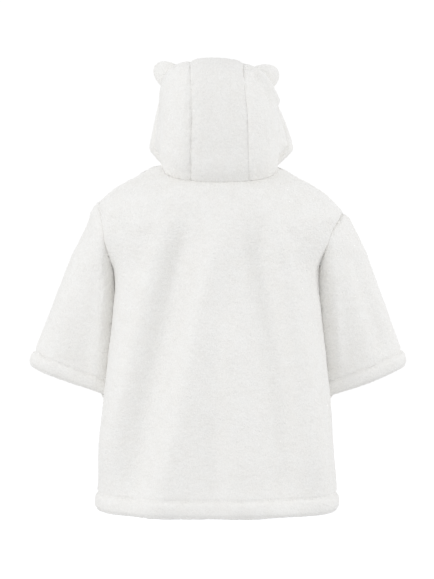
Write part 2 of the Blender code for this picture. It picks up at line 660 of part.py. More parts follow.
# ---------------------------------------------------------------- pieces
def edge_distances(points):
    """How far each grid point is from the first and last column, along its row, and from the first and
    last row, along its column."""
    across = np.linalg.norm(np.diff(points, axis=1), axis=-1)
    first = np.concatenate([np.zeros((len(points), 1)), np.cumsum(across, 1)], 1)
    last = first[:, -1:] - first
    up = np.linalg.norm(np.diff(points, axis=0), axis=-1)
    bottom = np.concatenate([np.zeros((1, points.shape[1])), np.cumsum(up, 0)], 0)
    top = bottom[-1:] - bottom
    return first, last, bottom, top


def body_panel(name, side):
    """The front or the back, from hem to neck."""
    skirt = ARMPIT_HEIGHT - HEM_HEIGHT
    rows = np.concatenate(
        [
            hem_stations(HEM, skirt, SKIRT_ROWS) / skirt,
            1 + np.arange(1, ARMHOLE_ROWS + 1) / ARMHOLE_ROWS,
            2 + np.arange(1, SHOULDER_ROWS + 1) / SHOULDER_ROWS,
        ]
    )
    columns = np.arange(-HALF_COLUMNS, HALF_COLUMNS + 1) / HALF_COLUMNS * -side
    points = body_surface(columns[None, :], rows[:, None], side)
    first, last, bottom, top = edge_distances(points)
    fade = ease((np.minimum(first, last) - 0.004) / 0.040) * ease((top - 0.004) / 0.030)
    seams = np.minimum(np.minimum(first, last), top)
    lift = fold_relief(points, FOLDS[name]) * fade + dip(seams, SEAM_DIP, SEAM_REACH)
    return Panel(name, points, lift, hem_relief(bottom, HEM), hem_layer(bottom, HEM), lip="first row")


def sleeve_panel(hand):
    """A sleeve, from armhole to cuff."""
    along = 1 - hem_stations(CUFF_HEM, SLEEVE_LENGTH, SLEEVE_ROWS)[::-1] / SLEEVE_LENGTH
    around = np.arange(2 * ARMHOLE_ROWS) / (2 * ARMHOLE_ROWS)
    if hand == "right":
        around = -around % 1.0
    points = sleeve_surface(around[None, :], along[:, None], hand)
    _, _, start, end = edge_distances(points)
    name = f"sleeve_{hand}"
    lift = fold_relief(points, FOLDS[name]) * ease((start - 0.004) / 0.03)
    lift = lift + dip(start, SEAM_DIP, SEAM_REACH)
    swell, layer = hem_relief(end, CUFF_HEM), hem_layer(end, CUFF_HEM)
    return Panel(name, points, lift, swell, layer, closed=True, lip="last row")


def hood_columns():
    """Columns of a side panel: as many behind its widest line, and ahead of it, as the neck seam has
    points there."""
    behind = np.linspace(0, HOOD_SIDE, HALF_COLUMNS - STRIP_COLUMNS + 1)
    return np.concatenate([behind, np.linspace(HOOD_SIDE, 1, HALF_COLUMNS + 1)[1:]])


def hood_side_panel(hand):
    """A side of the hood."""
    up = np.linspace(0, 1, HOOD_ROWS + 1)
    across = hood_columns()
    points = hood_side_surface(across[None, :], up[:, None], hand)
    back, face, neck, crown = edge_distances(points)
    seams = np.minimum(np.minimum(back, neck), crown)
    fade = ease((seams - 0.003) / 0.01) * ease((points[..., 1] + 0.010) / 0.02)
    name = f"hood_{hand}"
    lift = dip(seams, SEAM_DIP, SEAM_REACH) + fold_relief(points, FOLDS[name]) * fade
    roll = hem_start(np.arange(HOOD_ROWS + 1))[:, None]
    swell, layer = hem_relief(face, FACE_HEM) * roll, hem_layer(face, FACE_HEM) * roll
    facing = -1 if hand == "left" else 1
    return Panel(name, points, lift, swell, layer, lip="last column", facing=facing)


def hood_strip_panel():
    """The strip over the middle of the hood."""
    back = np.linspace(0, HOOD_CORNER, HOOD_ROWS + 1)
    crown = HOOD_CORNER + (1 - HOOD_CORNER) * hood_columns()
    along = np.concatenate([back, crown[1:]])
    across = np.arange(-STRIP_COLUMNS, STRIP_COLUMNS + 1) / STRIP_COLUMNS
    points = hood_strip_surface(across[None, :], along[:, None])
    left, right, neck, face = edge_distances(points)
    seams = np.minimum(np.minimum(left, right), neck)
    lift = dip(seams, SEAM_DIP, SEAM_REACH)
    swell, layer = hem_relief(face, FACE_HEM), hem_layer(face, FACE_HEM)
    return Panel("hood_middle", points, lift, swell, layer, lip="last row", facing=-1)


def patch(grid, row, column):
    """Points on the faces of a grid, between its rows and columns."""
    i = np.clip(np.floor(row).astype(int), 0, grid.shape[0] - 2)
    j = np.clip(np.floor(column).astype(int), 0, grid.shape[1] - 2)
    s, t = (row - i)[..., None], (column - j)[..., None]
    a, b, c, d = grid[i, j], grid[i, j + 1], grid[i + 1, j + 1], grid[i + 1, j]
    return np.where(s <= t, a + (b - a) * t + (c - b) * s, a + (d - a) * s + (c - d) * t)


def ear(hand, hood):
    """A stuffed round ear: a dome over an oval of the side panel's own outer face."""
    steps = np.linspace(-1, 1, EAR_CELLS + 1)
    u, v = np.meshgrid(np.sin(steps * math.pi / 2), np.sin(steps * math.pi / 2), indexing="ij")
    along = u * np.sqrt(1 - v**2 / 2)
    thick = v * np.sqrt(1 - u**2 / 2)
    first, last = EAR_ROWS[hand]
    row = first + (last - first) * (1 + along) / 2
    behind, ahead = EAR_COLUMNS[hand]
    column = behind + (ahead - behind) * (1 + thick) / 2
    base = patch(hood.outer(), row, column) + unit(patch(hood.normal, row, column)) * EAR_GAP
    axis = unit(np.array(EAR_AXIS) * hood_shift(hand)[0])
    height = EAR_HEIGHT[hand] * np.sqrt(np.clip(1 - along**2 - thick**2, 0, 1))
    dome = base + axis * height[..., None]
    mesh = bmesh.new()
    low = [[mesh.verts.new(base[i, j]) for j in range(EAR_CELLS + 1)] for i in range(EAR_CELLS + 1)]
    rim = (0, EAR_CELLS)
    top = [
        [low[i][j] if i in rim or j in rim else mesh.verts.new(dome[i, j]) for j in range(EAR_CELLS + 1)]
        for i in range(EAR_CELLS + 1)
    ]
    for i in range(EAR_CELLS):
        for j in range(EAR_CELLS):
            mesh.faces.new((low[i][j], low[i + 1][j], low[i + 1][j + 1], low[i][j + 1]))
            mesh.faces.new((top[i][j], top[i][j + 1], top[i + 1][j + 1], top[i + 1][j]))
    bmesh.ops.recalc_face_normals(mesh, faces=mesh.faces)
    made = bpy.data.meshes.new(f"ear_{hand}")
    mesh.to_mesh(made)
    mesh.free()
    return add_object(f"ear_{hand}", made)


def clear_scene():
    for old in list(bpy.data.objects):
        bpy.data.objects.remove(old)


def build():
    clear_scene()
    panels = [
        body_panel("back", 1),
        body_panel("front", -1),
        sleeve_panel("left"),
        sleeve_panel("right"),
        hood_side_panel("left"),
        hood_side_panel("right"),
        hood_strip_panel(),
    ]
    sew(panels)
    for panel in panels:
        wall(panel)
    ear("left", panels[4])
    ear("right", panels[5])


build()
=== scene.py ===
"""The looks of a child's long white fleece hoodie with two round ears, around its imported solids.

Metres, +Z up. The wearer faces -Y, so +X is the wearer's left. Each sewn piece is a thin closed shell
on its solid's form: a fine grid of points outside, over the fold of its hem and up inside the hem,
with the pile raised on it, and a coarse grid inside. Tables and surfaces start from those of the
solids; the folds are deeper here, and seams, stitches, creases and pile are added.
"""

import math

import bmesh
import bpy
import numpy as np
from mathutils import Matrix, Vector


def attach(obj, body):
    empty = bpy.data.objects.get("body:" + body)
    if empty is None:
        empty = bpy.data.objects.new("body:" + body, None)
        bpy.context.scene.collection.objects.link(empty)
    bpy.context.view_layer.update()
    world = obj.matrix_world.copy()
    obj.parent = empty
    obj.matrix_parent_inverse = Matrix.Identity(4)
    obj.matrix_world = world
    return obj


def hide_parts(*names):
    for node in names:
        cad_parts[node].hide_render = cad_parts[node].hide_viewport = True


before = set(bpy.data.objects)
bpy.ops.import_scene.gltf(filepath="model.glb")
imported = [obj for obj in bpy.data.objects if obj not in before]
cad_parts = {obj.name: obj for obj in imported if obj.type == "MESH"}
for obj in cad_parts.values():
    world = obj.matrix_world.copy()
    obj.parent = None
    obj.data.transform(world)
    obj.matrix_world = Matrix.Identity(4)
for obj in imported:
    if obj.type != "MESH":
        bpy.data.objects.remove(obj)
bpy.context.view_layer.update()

HAND = {"left": 1.0, "right": -1.0}  # the way that each side lies along X

# ---------------- sizes
CLOTH = 0.0040  # thickness of the fleece, its pile included
SEAM_DIP = 0.0024  # the stitching draws the cloth in by this much
SEAM_REACH = 0.0085  # and this far from the seam
SEAM_CUT = 0.0016  # the seam itself is a narrow groove of this depth
SEAM_CUT_REACH = 0.0022
SEAM_LOOSE = (-0.100, -0.140)  # the armhole's seam flattens between these heights, towards the armpit
SEAM_LEFT = 0.15  # to this share of its dip
NECK_SEAM = 0.25  # and the neck seam, held open by the hood's weight, has this share of it
PUCKER = 0.85  # beside it the dip is this much deeper and shallower by turns
PUCKER_SIZE = 0.0072
MOST_MITRE = 1.6  # the most that a wall thickens where two pieces meet at an angle

HEM_HEIGHT = -0.546
HEM_DROP = 0.003  # the hem hangs this much lower in the middle than at its sides
ARMPIT_HEIGHT = -0.171
ARMPIT_X = 0.163
SIDE_SEAM_Y = -0.004
SHOULDER_ROUNDING = 1.8  # over 1 the cloth passes over the shoulder seam in a round, not as a roof
NECK_ROUNDING = 0.62  # the same at the neck seam, which stays low behind and climbs steeply at its sides
NECK_SHIFT = -0.004  # the hood sits this far to the wearer's right
NECK_X = {"left": 0.088, "right": 0.096}  # tops of the shoulder seams
SHOULDER_LIFT = {"left": 0.0005, "right": -0.0015}  # one shoulder sits a little higher
SHOULDER_X = {"left": 0.190, "right": 0.204}  # outer ends of the shoulder seams
ARMHOLE_BOW = {"left": 0.75, "right": 1.6}  # under 1 the armhole bows out, over 1 in
ARMHOLE_DEPTH = {1: 0.056, -1: 0.052}  # reach to the back and to the front
ARMHOLE_FULL = 0.58  # under 1 the armhole is rounder at the armpit
ARMHOLE_TURN = math.radians(30)  # the body's sections stop this short of the side at the armhole

HEM = 0.024  # turned-up hem of the body, and those of the cuffs and of the hood's front edge
CUFF_HEM = 0.022
FACE_HEM = 0.018
HEM_SWELL = 0.0032  # the turned hem stands out by this much, as a soft roll
HEM_TUCK = 0.0008  # and its edges are drawn in by this much
HEM_LAYER = 0.0032  # its second layer stands in by this much
HEM_LIP = 0.0030  # how far its fold is rounded beyond the last row
STITCH_DIP = 0.0026  # the line of stitches over the hem
STITCH_REACH = 0.0024

MIDDLE_BULGE = 0.0050  # the hood's middle strip rounds up between its seams
HOOD_CORNER = 0.54  # where the side panel's back edge becomes its top edge, as a share of the seam
HOOD_SIDE = 0.4  # how far across a side panel its widest line lies, from the middle strip to the face
NECK_FIT = 0.22  # the share of its height over which the hood passes from the neck seam to its own form
CROWN_FIT = 0.45  # and the share from which it passes to the seam of the crown
HOOD_LEAN = 0.05  # the crown is tilted, higher on the wearer's left
HOOD_DRIFT = 0.004  # and stands this much over that side
LEAN_FROM = 0.055  # from this height, growing over the next LEAN_OVER
LEAN_OVER = 0.100

STEP = 0.0022  # beside the hood's right seam the side panel stands this much higher than the strip
STEP_REACH = 0.0060
STEP_TOP = 0.105  # from the neck up to here
STEP_SEAM = 0.30  # and the seam there has this share of its dip
FLAP_TROUGH = 0.0085  # depth of the hollow between the hood's side and the flap at its front edge
FLAP_ACROSS = 0.48  # where it lies across the side panel
FLAP_WIDTH = 0.12
FLAP_TOP = 0.40  # and the height from which it fades

EAR_HEIGHT = {"left": 0.0235, "right": 0.0220}
EAR_AXIS = (0.75, -0.05, 0.66)  # the way that the left ear stands out
EAR_GAP = -0.0008  # sunk into the pile of the hood by this much
EAR_ROWS = {"left": (0.745, 0.940), "right": (0.770, 0.958)}  # the heights that an ear spans
EAR_COLUMNS = {"left": (7.8, 10.4), "right": (7.7, 10.4)}  # and its columns, as on the solid

# ---------------- grid sizes
CELL = 0.0019  # rows of the fine grids lie about this far apart
HALF_COLUMNS = 114  # columns of the front or back from its middle to its side
STRIP_COLUMNS = 38  # those of them that the hood's middle strip takes at the neck
STRIP_SHARE = STRIP_COLUMNS / HALF_COLUMNS
ARMHOLE_ROWS = 100
SHOULDER_ROWS = 44
HOOD_ROWS = 108
FOLD_STEPS = 8  # steps round the fold of a hem
HEM_INSIDE = 1.3  # the fine grid goes up inside a hem by this share of its height
INNER_STEP = 5  # the inner face has every so many-th row and column
HOOD_CELL = 0.0013  # rows of the hood's fine grids lie about this far apart at the face
HOOD_SOLID_ROWS = 14  # rows of the solid's side panel
HOOD_SOLID_COLUMNS = 12  # and columns from the hood's middle to its widest line
HEM_START = 3  # its hem grows to full size over this many of those rows
HOOD_CENTRE = np.array((NECK_SHIFT, 0.0, 0.05))
BODY_CENTRE = np.array((0.0, 0.0, -0.3))
EAR_CELLS = 40
SOFTEN_STEPS = 160  # the body's grid is evened out this often, but not
SOFTEN_HELD = 0.002  # this near to its edges, and fully only
SOFTEN_FADE = 0.018  # this much further in
FOLD_START = 0.004  # the folds begin this far from a seam
FOLD_SIDE = 0.040  # and reach their full depth this much further in from a side seam,
FOLD_TOP = 0.030  # and this much from the neck or the armhole
HOOD_FOLD_START = 0.003  # the same on the hood,
HOOD_FOLD_REACH = 0.010
HOOD_FOLD_BEHIND = (-0.010, 0.020)  # where they begin at this depth, and grow over this much
CREASE_START = 0.002  # and the same for the creases beside the ears
CREASE_REACH = 0.006

# ---------------- pile
PILE = 0.0011  # height of the clumps of pile
CLUMP = 0.0046  # and their size
LUMP = 0.0009  # soft unevenness of the cloth under it
LUMP_SIZE = 0.034

WHITE = (0.949, 0.940, 0.914, 1.0)
SHADE = (0.932, 0.918, 0.886, 1.0)
STRIP_PAINTED_SHADE = 0.976  # painted shade: the colour of the hood's middle strip is darkened by this share, so that it looks a little darker than the hood's sides

SKY = (0.990, 0.997, 1.012, 1.0)
SKY_STRENGTH = 0.923
SKY_TILT = (0.012, 0.0, -0.020)  # the sky is this much brighter towards each axis
SKY_BELOW = 0.60  # and from straight below it has this share of its strength
SEEN_STRENGTH = 1.02  # what the camera sees of it is plain white
LIGHTS = (  # name, place, power
    ("left", (1.9, 1.7, 0.0), 9.6),
    ("right", (-2.5, 0.5, 0.0), 9.5),
)
LIGHT_SIZE = 1.4
LIGHT_AIM = (0, 0, -0.2)
FLOOR_HEIGHT = -0.80
FLOOR_REACH = 6.0
FLOOR_SIDES = 64
FLOOR_GLOW = 0.35
CAMERA_PLACE = (0.0, 2.6, -0.199)
LENS = 101.07


def table(columns, *rows):
    """A table as arrays by column name."""
    return dict(zip(columns.split(), np.array(rows, float).T))


# Sections of the body up to the armpit.
SKIRT = table(
    "height half_width back front square",
    (-0.546, 0.1925, 0.108, 0.106, 0.040),
    (-0.456, 0.1870, 0.107, 0.104, 0.045),
    (-0.363, 0.1800, 0.105, 0.101, 0.050),
    (-0.270, 0.1700, 0.101, 0.097, 0.055),
    (-0.200, 0.1635, 0.098, 0.093, 0.060),
    (-0.171, 0.1630, 0.097, 0.091, 0.060),
)

# The middle line of the back and of the front above it. Row 1 is level with the armpit, 2 with the
# shoulder point and 3 with the neck.
CHEST = table(
    "row back_height back front_height front square",
    (1.0, -0.171, 0.097, -0.171, 0.091, 0.060),
    (1.5, -0.130, 0.097, -0.137, 0.089, 0.035),
    (2.0, -0.092, 0.094, -0.107, 0.085, 0.030),
    (2.5, -0.058, 0.088, -0.080, 0.080, 0.015),
    (3.0, -0.0325, 0.079, -0.056, 0.075, 0.000),
)

# The shoulder line from the neck outward.
SHOULDER_LINE = table(
    "x height",
    (0.080, 0.0068),
    (0.092, 0.0032),
    (0.106, -0.0013),
    (0.121, -0.0095),
    (0.136, -0.0192),
    (0.151, -0.0278),
    (0.165, -0.0375),
    (0.181, -0.0495),
    (0.194, -0.0615),
    (0.205, -0.0740),
)

# Half the hood's section: where its side is widest, and its front edge.
HOOD_SECTIONS = table(
    "share side_x side_y side_z front_left front_right front_y front_z",
    (0.00, 0.092, -0.004, 0.000, 0.000, 0.000, -0.075, -0.056),
    (0.08, 0.0955, -0.004, 0.012, 0.034, 0.034, -0.080, -0.032),
    (0.17, 0.0965, -0.005, 0.026, 0.071, 0.073, -0.085, -0.008),
    (0.24, 0.0965, -0.006, 0.039, 0.092, 0.096, -0.088, 0.008),
    (0.29, 0.0965, -0.006, 0.048, 0.105, 0.110, -0.089, 0.020),
    (0.34, 0.0963, -0.007, 0.057, 0.1145, 0.1205, -0.090, 0.031),
    (0.40, 0.0958, -0.007, 0.068, 0.1135, 0.1190, -0.091, 0.044),
    (0.52, 0.0950, -0.008, 0.085, 0.1070, 0.1105, -0.093, 0.070),
    (0.70, 0.0930, -0.008, 0.116, 0.0930, 0.0945, -0.097, 0.108),
    (0.82, 0.0860, -0.005, 0.139, 0.0790, 0.0790, -0.099, 0.131),
    (0.92, 0.0690, 0.004, 0.155, 0.0610, 0.0610, -0.100, 0.142),
    (1.00, 0.0430, 0.012, 0.165, 0.0430, 0.0430, -0.100, 0.147),
)

# The seam between the hood's middle strip and a side panel, from nape to forehead.
HOOD_SEAM = table(
    "x y z",
    (0.0460, 0.068, -0.025),
    (0.0455, 0.084, -0.010),
    (0.0445, 0.091, 0.022),
    (0.0435, 0.093, 0.066),
    (0.0430, 0.088, 0.108),
    (0.0430, 0.075, 0.136),
    (0.0430, 0.050, 0.154),
    (0.0430, 0.012, 0.165),
    (0.0430, -0.040, 0.163),
    (0.0430, -0.100, 0.147),
)


def folds(*rows):
    """Long soft folds, in millimetres, each from x0, z0 to x1, z1 as seen from behind or in front."""
    return table("x0 z0 x1 z1 bow width0 width1 rise", *np.array(rows) / 1000)


FOLDS = {
    "back": folds(
        (80, -110, 175, -480, 0, 18, 24, 10.5),
        (48, -92, 142, -540, 0, 26, 34, -15),
        (-5, -110, 88, -540, 0, 18, 28, 12),
        (6, -400, 4, -556, 0, 16, 22, -4),
        (-20, -260, -40, -556, 0, 18, 24, 8),
        (-55, -100, -112, -540, 10, 24, 32, -13),
        (-94, -110, -150, -500, 6, 17, 23, 12),
        (20, -48, -30, -52, 0, 16, 16, -3.5),
        (176, -66, 90, -52, 4, 10, 14, 2.2),
        (150, -84, 60, -80, 0, 10, 14, -2.2),
        (-100, -94, -122, -128, 0, 7, 7, -1.4),
        (-112, -88, -136, -120, 0, 7, 7, 1.2),
    ),
    "front": folds(
        (90, -110, 152, -520, 4, 20, 28, 8.5),
        (52, -110, 106, -540, 0, 18, 28, -12),
        (6, -150, 44, -540, 0, 20, 30, 8.5),
        (-34, -120, -40, -540, -4, 16, 26, -10),
        (-82, -110, -106, -530, 0, 20, 28, 9.5),
        (-124, -150, -156, -500, 0, 18, 24, -8),
        (150, -100, 104, -150, 0, 8, 12, -2),
        (-156, -110, -100, -160, 0, 8, 12, -2),
    ),
    "sleeve_left": folds(
        (180, -190, 192, -340, 0, 9, 12, 4.5),
        (204, -240, 220, -340, 0, 10, 14, -1.2),
        (222, -130, 268, -330, 0, 14, 20, 3),
        (206, -80, 240, -200, 0, 10, 14, -2.6),
    ),
    "sleeve_right": folds(
        (-182, -160, -196, -330, 0, 9, 12, 5),
        (-214, -140, -270, -300, 0, 12, 18, -6),
        (-232, -120, -290, -310, 0, 10, 14, 3),
    ),
    "hood_left": folds((80, 115, 86, 10, 0, 16, 20, 2)),
    "hood_right": folds((-88, 80, -90, 10, 0, 14, 18, 2)),
}

# Creases beside the ears, over the side panels' own columns and heights, which lie this far apart.
EAR_CREASE_SCALE = (0.0098, 0.20)
EAR_CREASES = {
    "left": table(
        "column0 up0 column1 up1 width rise",
        (10.2, 0.74, 7.6, 0.95, 0.0024, -0.0030),
        (9.4, 0.68, 6.8, 0.94, 0.0050, 0.0020),
        (7.4, 0.99, 8.8, 0.90, 0.0060, -0.0040),
    ),
    "right": table(
        "column0 up0 column1 up1 width rise",
        (10.6, 0.765, 7.5, 0.940, 0.0024, -0.0040),
        (10.9, 0.615, 6.9, 0.930, 0.0046, 0.0056),
        (9.2, 0.610, 6.2, 0.890, 0.0060, -0.0075),
        (5.4, 0.990, 7.6, 0.930, 0.0070, -0.0060),
    ),
}


# ---------------- curves
def smooth(xs, ys, at):
    """A cubic through (xs, ys), with each point's slope taken from its neighbours."""
    at = np.clip(at, xs[0], xs[-1])
    i = np.clip(np.searchsorted(xs, at, "right") - 1, 0, len(xs) - 2)
    slope = np.gradient(ys, xs)
    step = xs[i + 1] - xs[i]
    s = (at - xs[i]) / step
    rise = 3 * s**2 - 2 * s**3
    lean = (s**3 - 2 * s**2 + s) * slope[i] + (s**3 - s**2) * slope[i + 1]
    return ys[i] + (ys[i + 1] - ys[i]) * rise + lean * step


def read(columns, name, at):
    """A column of a table, read smoothly against the table's first one."""
    return smooth(next(iter(columns.values())), columns[name], at)


def ease(s):
    """A soft step from 0 to 1 as s goes from 0 to 1."""
    s = np.clip(s, 0, 1)
    return s * s * (3 - 2 * s)


def unit(v):
    return v / np.maximum(np.linalg.norm(v, axis=-1, keepdims=True), 1e-12)


def across_of(turn, square):
    """Reach to the side of a rounded section at an angle from its middle; square 0 is an ellipse."""
    return (np.sin(turn) + square * np.sin(3 * turn)) / (1 - square)


def depth_of(turn, square):
    return (np.cos(turn) - square * np.cos(3 * turn)) / (1 - square)


# ---------------- body
def armhole_reach(climb):
    """The armhole's reach to the back or front, as a share of its most, from armpit to shoulder."""
    full = ARMHOLE_FULL + (1 - ARMHOLE_FULL) * np.clip(2 * climb, 0, 1)
    return np.sin(math.pi * np.clip(climb, 0, 1)) ** full


def body_edge(row, hand, side):
    """The edge of the front or back: side seam to row 1, armhole to row 2, shoulder seam to row 3."""
    skirt_z = HEM_HEIGHT + (ARMPIT_HEIGHT - HEM_HEIGHT) * np.clip(row, 0, 1)
    skirt_x = read(SKIRT, "half_width", skirt_z)
    shoulder_x = SHOULDER_X[hand]
    shoulder_z = read(SHOULDER_LINE, "height", shoulder_x) + SHOULDER_LIFT[hand]
    climb = np.clip(row, 1, 2) - 1
    hole_x = ARMPIT_X + (shoulder_x - ARMPIT_X) * climb ** ARMHOLE_BOW[hand]
    hole_y = SIDE_SEAM_Y + side * ARMHOLE_DEPTH[side] * armhole_reach(climb)
    hole_z = ARMPIT_HEIGHT + (shoulder_z - ARMPIT_HEIGHT) * climb
    ridge_x = shoulder_x + (NECK_X[hand] - shoulder_x) * (np.clip(row, 2, 3) - 2)
    ridge_z = read(SHOULDER_LINE, "height", ridge_x) + SHOULDER_LIFT[hand]
    x = np.where(row <= 1, skirt_x, np.where(row <= 2, hole_x, ridge_x))
    y = np.where((row > 1) & (row < 2), hole_y, SIDE_SEAM_Y)
    z = np.where(row <= 1, skirt_z, np.where(row <= 2, hole_z, ridge_z))
    return x, y, z


def body_surface(across, row, side):
    """Points of the back (side 1) or front (side -1). across runs from -1, the wearer's right, to 1."""
    across, row = np.broadcast_arrays(np.asarray(across, float), np.asarray(row, float))
    name = "back" if side > 0 else "front"
    skirt_z = HEM_HEIGHT + (ARMPIT_HEIGHT - HEM_HEIGHT) * np.clip(row, 0, 1)
    chest = np.clip(row, 1, 3)
    low = row <= 1
    middle_z = np.where(low, skirt_z, read(CHEST, name + "_height", chest))
    skirt_depth = read(SKIRT, name, skirt_z)
    skirt_square = read(SKIRT, "square", skirt_z)
    depth = np.where(low, skirt_depth, read(CHEST, name, chest))
    square = np.where(low, skirt_square, read(CHEST, "square", chest))
    climb = np.clip(row - 1, 0, 1)
    last_turn = math.pi / 2 - ARMHOLE_TURN * armhole_reach(climb) * (1 - ease(2 * climb - 1) * climb)
    turn = np.abs(across) * last_turn
    reach = across_of(turn, square) / across_of(last_turn, square)
    rest = depth_of(last_turn, square)
    fall = (depth_of(turn, square) - rest) / (1 - rest)
    left = np.stack(body_edge(row, "left", side), -1)
    right = np.stack(body_edge(row, "right", side), -1)
    edge = np.where((across >= 0)[..., None], left, right)
    middle_x = NECK_SHIFT * ease((row - 1) / 2)
    x = middle_x + np.sign(across) * (edge[..., 0] - np.sign(across) * middle_x) * reach
    y = edge[..., 1] + (side * depth - edge[..., 1]) * fall
    middle_z = middle_z - HEM_DROP * (1 - ease(row))
    rounding = SHOULDER_ROUNDING + (NECK_ROUNDING - SHOULDER_ROUNDING) * ease(row - 2)
    z = edge[..., 2] + (middle_z - edge[..., 2]) * fall**rounding
    return np.stack([x, y, z], -1)


def body_half_width(y, z):
    """How far the plain body reaches to the side at a depth and a height below the armpit."""
    side = np.where(y > SIDE_SEAM_Y, 1, -1)
    back = read(SKIRT, "back", z)
    front = read(SKIRT, "front", z)
    depth = np.where(side > 0, back, front)
    share = np.clip((y - SIDE_SEAM_Y) / (side * depth - SIDE_SEAM_Y), 0, 1)
    square = read(SKIRT, "square", z)
    turn = np.arccos(share)
    for _ in range(6):
        slope = (np.sin(turn) - 3 * square * np.sin(3 * turn)) / (1 - square)
        turn = np.clip(turn + (depth_of(turn, square) - share) / np.maximum(slope, 0.2), 0, math.pi / 2)
    return read(SKIRT, "half_width", z) * across_of(turn, square)


# ---------------- sleeves
SLEEVE_LENGTH = 0.26
CUFF_CENTRE = {"left": (0.2235, -0.058, -0.3465), "right": (0.2265, -0.058, -0.3455)}
CUFF_OUT = (0.081, 0.0, 0.0285)  # from the cuff's middle to its outermost point
CUFF_BACK = {"left": (0.006, 0.050, -0.003), "right": (0.006, 0.050, -0.006)}  # and to its back
CUFF_FULL = 0.90  # under 1 the cuff's section is squarer behind, beside the body
SHOULDER_ROUND = (0.0045, 0.0, 0.0020)  # how far the sleeve's top stands out past the shoulder point
UNDERARM_ROUND = -0.006  # how far its underside would sag towards the body from a straight line
UNDERARM_FULL = (0.004, 0.004, 0.0)  # and bulge behind the arm,
UNDERARM_AROUND = (0.14, 0.08)  # at this share of the way round, over this much of it
SLEEVE_CLEAR = -0.0010  # the pile of the sleeve rests in that of the body
SLEEVE_FORWARD = 0.02  # and further off in front and behind, by this share of the way
SLEEVE_SOFT = 0.001  # and bends round it this softly


def rest_on_body(point, along):
    """Points of the left sleeve, with those that would be in the body, or nearly, laid on its side."""
    x, y, z = point[..., 0], point[..., 1], point[..., 2]
    clear = (SLEEVE_CLEAR + SLEEVE_FORWARD * np.abs(y - SIDE_SEAM_Y)) * ease(along / 0.12)
    least = body_half_width(y, np.minimum(z, ARMPIT_HEIGHT)) + clear
    over = x - least
    rested = least + (over + np.sqrt(over**2 + SLEEVE_SOFT**2)) / 2
    below = ease((ARMPIT_HEIGHT + 0.012 - z) / 0.024) * ease(along / 0.05)
    return np.stack([x + (rested - x) * below, y, z], -1)


def sleeve_surface(around, along, hand):
    """Points of a sleeve. around runs 0 to 1 from the armpit by back, shoulder and front, and along
    runs 0 to 1 from armhole to cuff."""
    around, along = np.broadcast_arrays(np.asarray(around, float), np.asarray(along, float))
    behind = around <= 0.5
    row = np.where(behind, 1 + 2 * around, 3 - 2 * around)
    back_edge = np.stack(body_edge(row, hand, 1), -1)
    front_edge = np.stack(body_edge(row, hand, -1), -1)
    start = np.where(behind[..., None], back_edge, front_edge)
    turn = 2 * math.pi * around - math.pi / 2
    up = np.sin(turn)[..., None]
    back = np.cos(turn)[..., None]
    under = (up < 0) & (back > 0)
    cuff_up = np.where(under, -(np.abs(up) ** CUFF_FULL), up)
    cuff_back = np.where(under, np.abs(back) ** CUFF_FULL, back)
    end = np.array(CUFF_CENTRE[hand]) + np.array(CUFF_OUT) * cuff_up + np.array(CUFF_BACK[hand]) * cuff_back
    share = along[..., None]
    point = start + (end - start) * share
    point = point + np.array(SHOULDER_ROUND) * np.sin(math.pi * share**0.45) * np.maximum(up, 0) ** 2
    sag = UNDERARM_ROUND * np.sin(math.pi * np.sqrt(share)) * np.maximum(-up, 0) ** 2
    middle, spread = UNDERARM_AROUND
    full = ease(along / 0.16) * (1 - ease((along - 0.5) / 0.5))
    full = full * np.exp(-(((around - middle) / spread) ** 2))
    point = point + np.array(UNDERARM_FULL) * full[..., None]
    point = rest_on_body(point + sag * np.array((1.0, 0.0, 0.0)), along)
    return point * np.array((HAND[hand], 1.0, 1.0))


# ---------------- hood
def hood_seam(share):
    """The seam beside the middle strip, from nape to forehead, at a share of its length."""
    points = np.stack([HOOD_SEAM["x"], HOOD_SEAM["y"], HOOD_SEAM["z"]], -1)
    steps = np.linalg.norm(np.diff(points, axis=0), axis=1)
    at = np.concatenate([[0], np.cumsum(steps)]) / steps.sum()
    return np.stack([smooth(at, points[:, k], np.asarray(share, float)) for k in range(3)], -1)


def neckline(around, hand):
    """The neck seam: around runs from 0 at the nape by 1 at the shoulder to 2 at the throat."""
    around = np.asarray(around, float)
    back = body_surface(HAND[hand] * np.clip(around, 0, 1), 3.0, 1)
    front = body_surface(HAND[hand] * np.clip(2 - around, 0, 1), 3.0, -1)
    return np.where((around <= 1)[..., None], back, front)


def hood_shift(hand):
    """What takes the left half's coordinates, measured from the hood's middle, to those of either half."""
    return np.array((HAND[hand], 1.0, 1.0)), np.array((NECK_SHIFT, 0.0, 0.0))


def lean(points):
    """The hood stands a little higher on the wearer's left, and its crown sits over that side."""
    share = ease((points[..., 2] - LEAN_FROM) / LEAN_OVER)
    up = HOOD_LEAN * points[..., 0] * share
    return points + np.stack([HOOD_DRIFT * share, 0 * share, up], -1)


def hood_line(names, up):
    """A line up the hood, from three columns of its table of sections."""
    return np.stack([read(HOOD_SECTIONS, k, up) for k in names], -1)


def hood_plain(across, up, hand):
    """A hood side before its edges are fitted to the neck and to the crown seam: a quarter round from
    the middle strip to its widest line, and a curve that flares out from there to the face."""
    back = hood_seam(up * HOOD_CORNER)
    side = hood_line(("side_x", "side_y", "side_z"), up)
    front = hood_line((f"front_{hand}", "front_y", "front_z"), up)
    turn = (np.clip(across / HOOD_SIDE, 0, 1) * math.pi / 2)[..., None]
    forward = np.clip((across - HOOD_SIDE) / (1 - HOOD_SIDE), 0, 1)[..., None]
    outward = np.array((1.0, 0.0, 0.0))
    level = 1 - outward
    behind = side + (back - side) * (outward * (1 - np.sin(turn)) + level * np.cos(turn))
    ahead = side + (front - side) * (outward * forward**2 + level * forward)
    return np.where((across <= HOOD_SIDE)[..., None], behind, ahead)


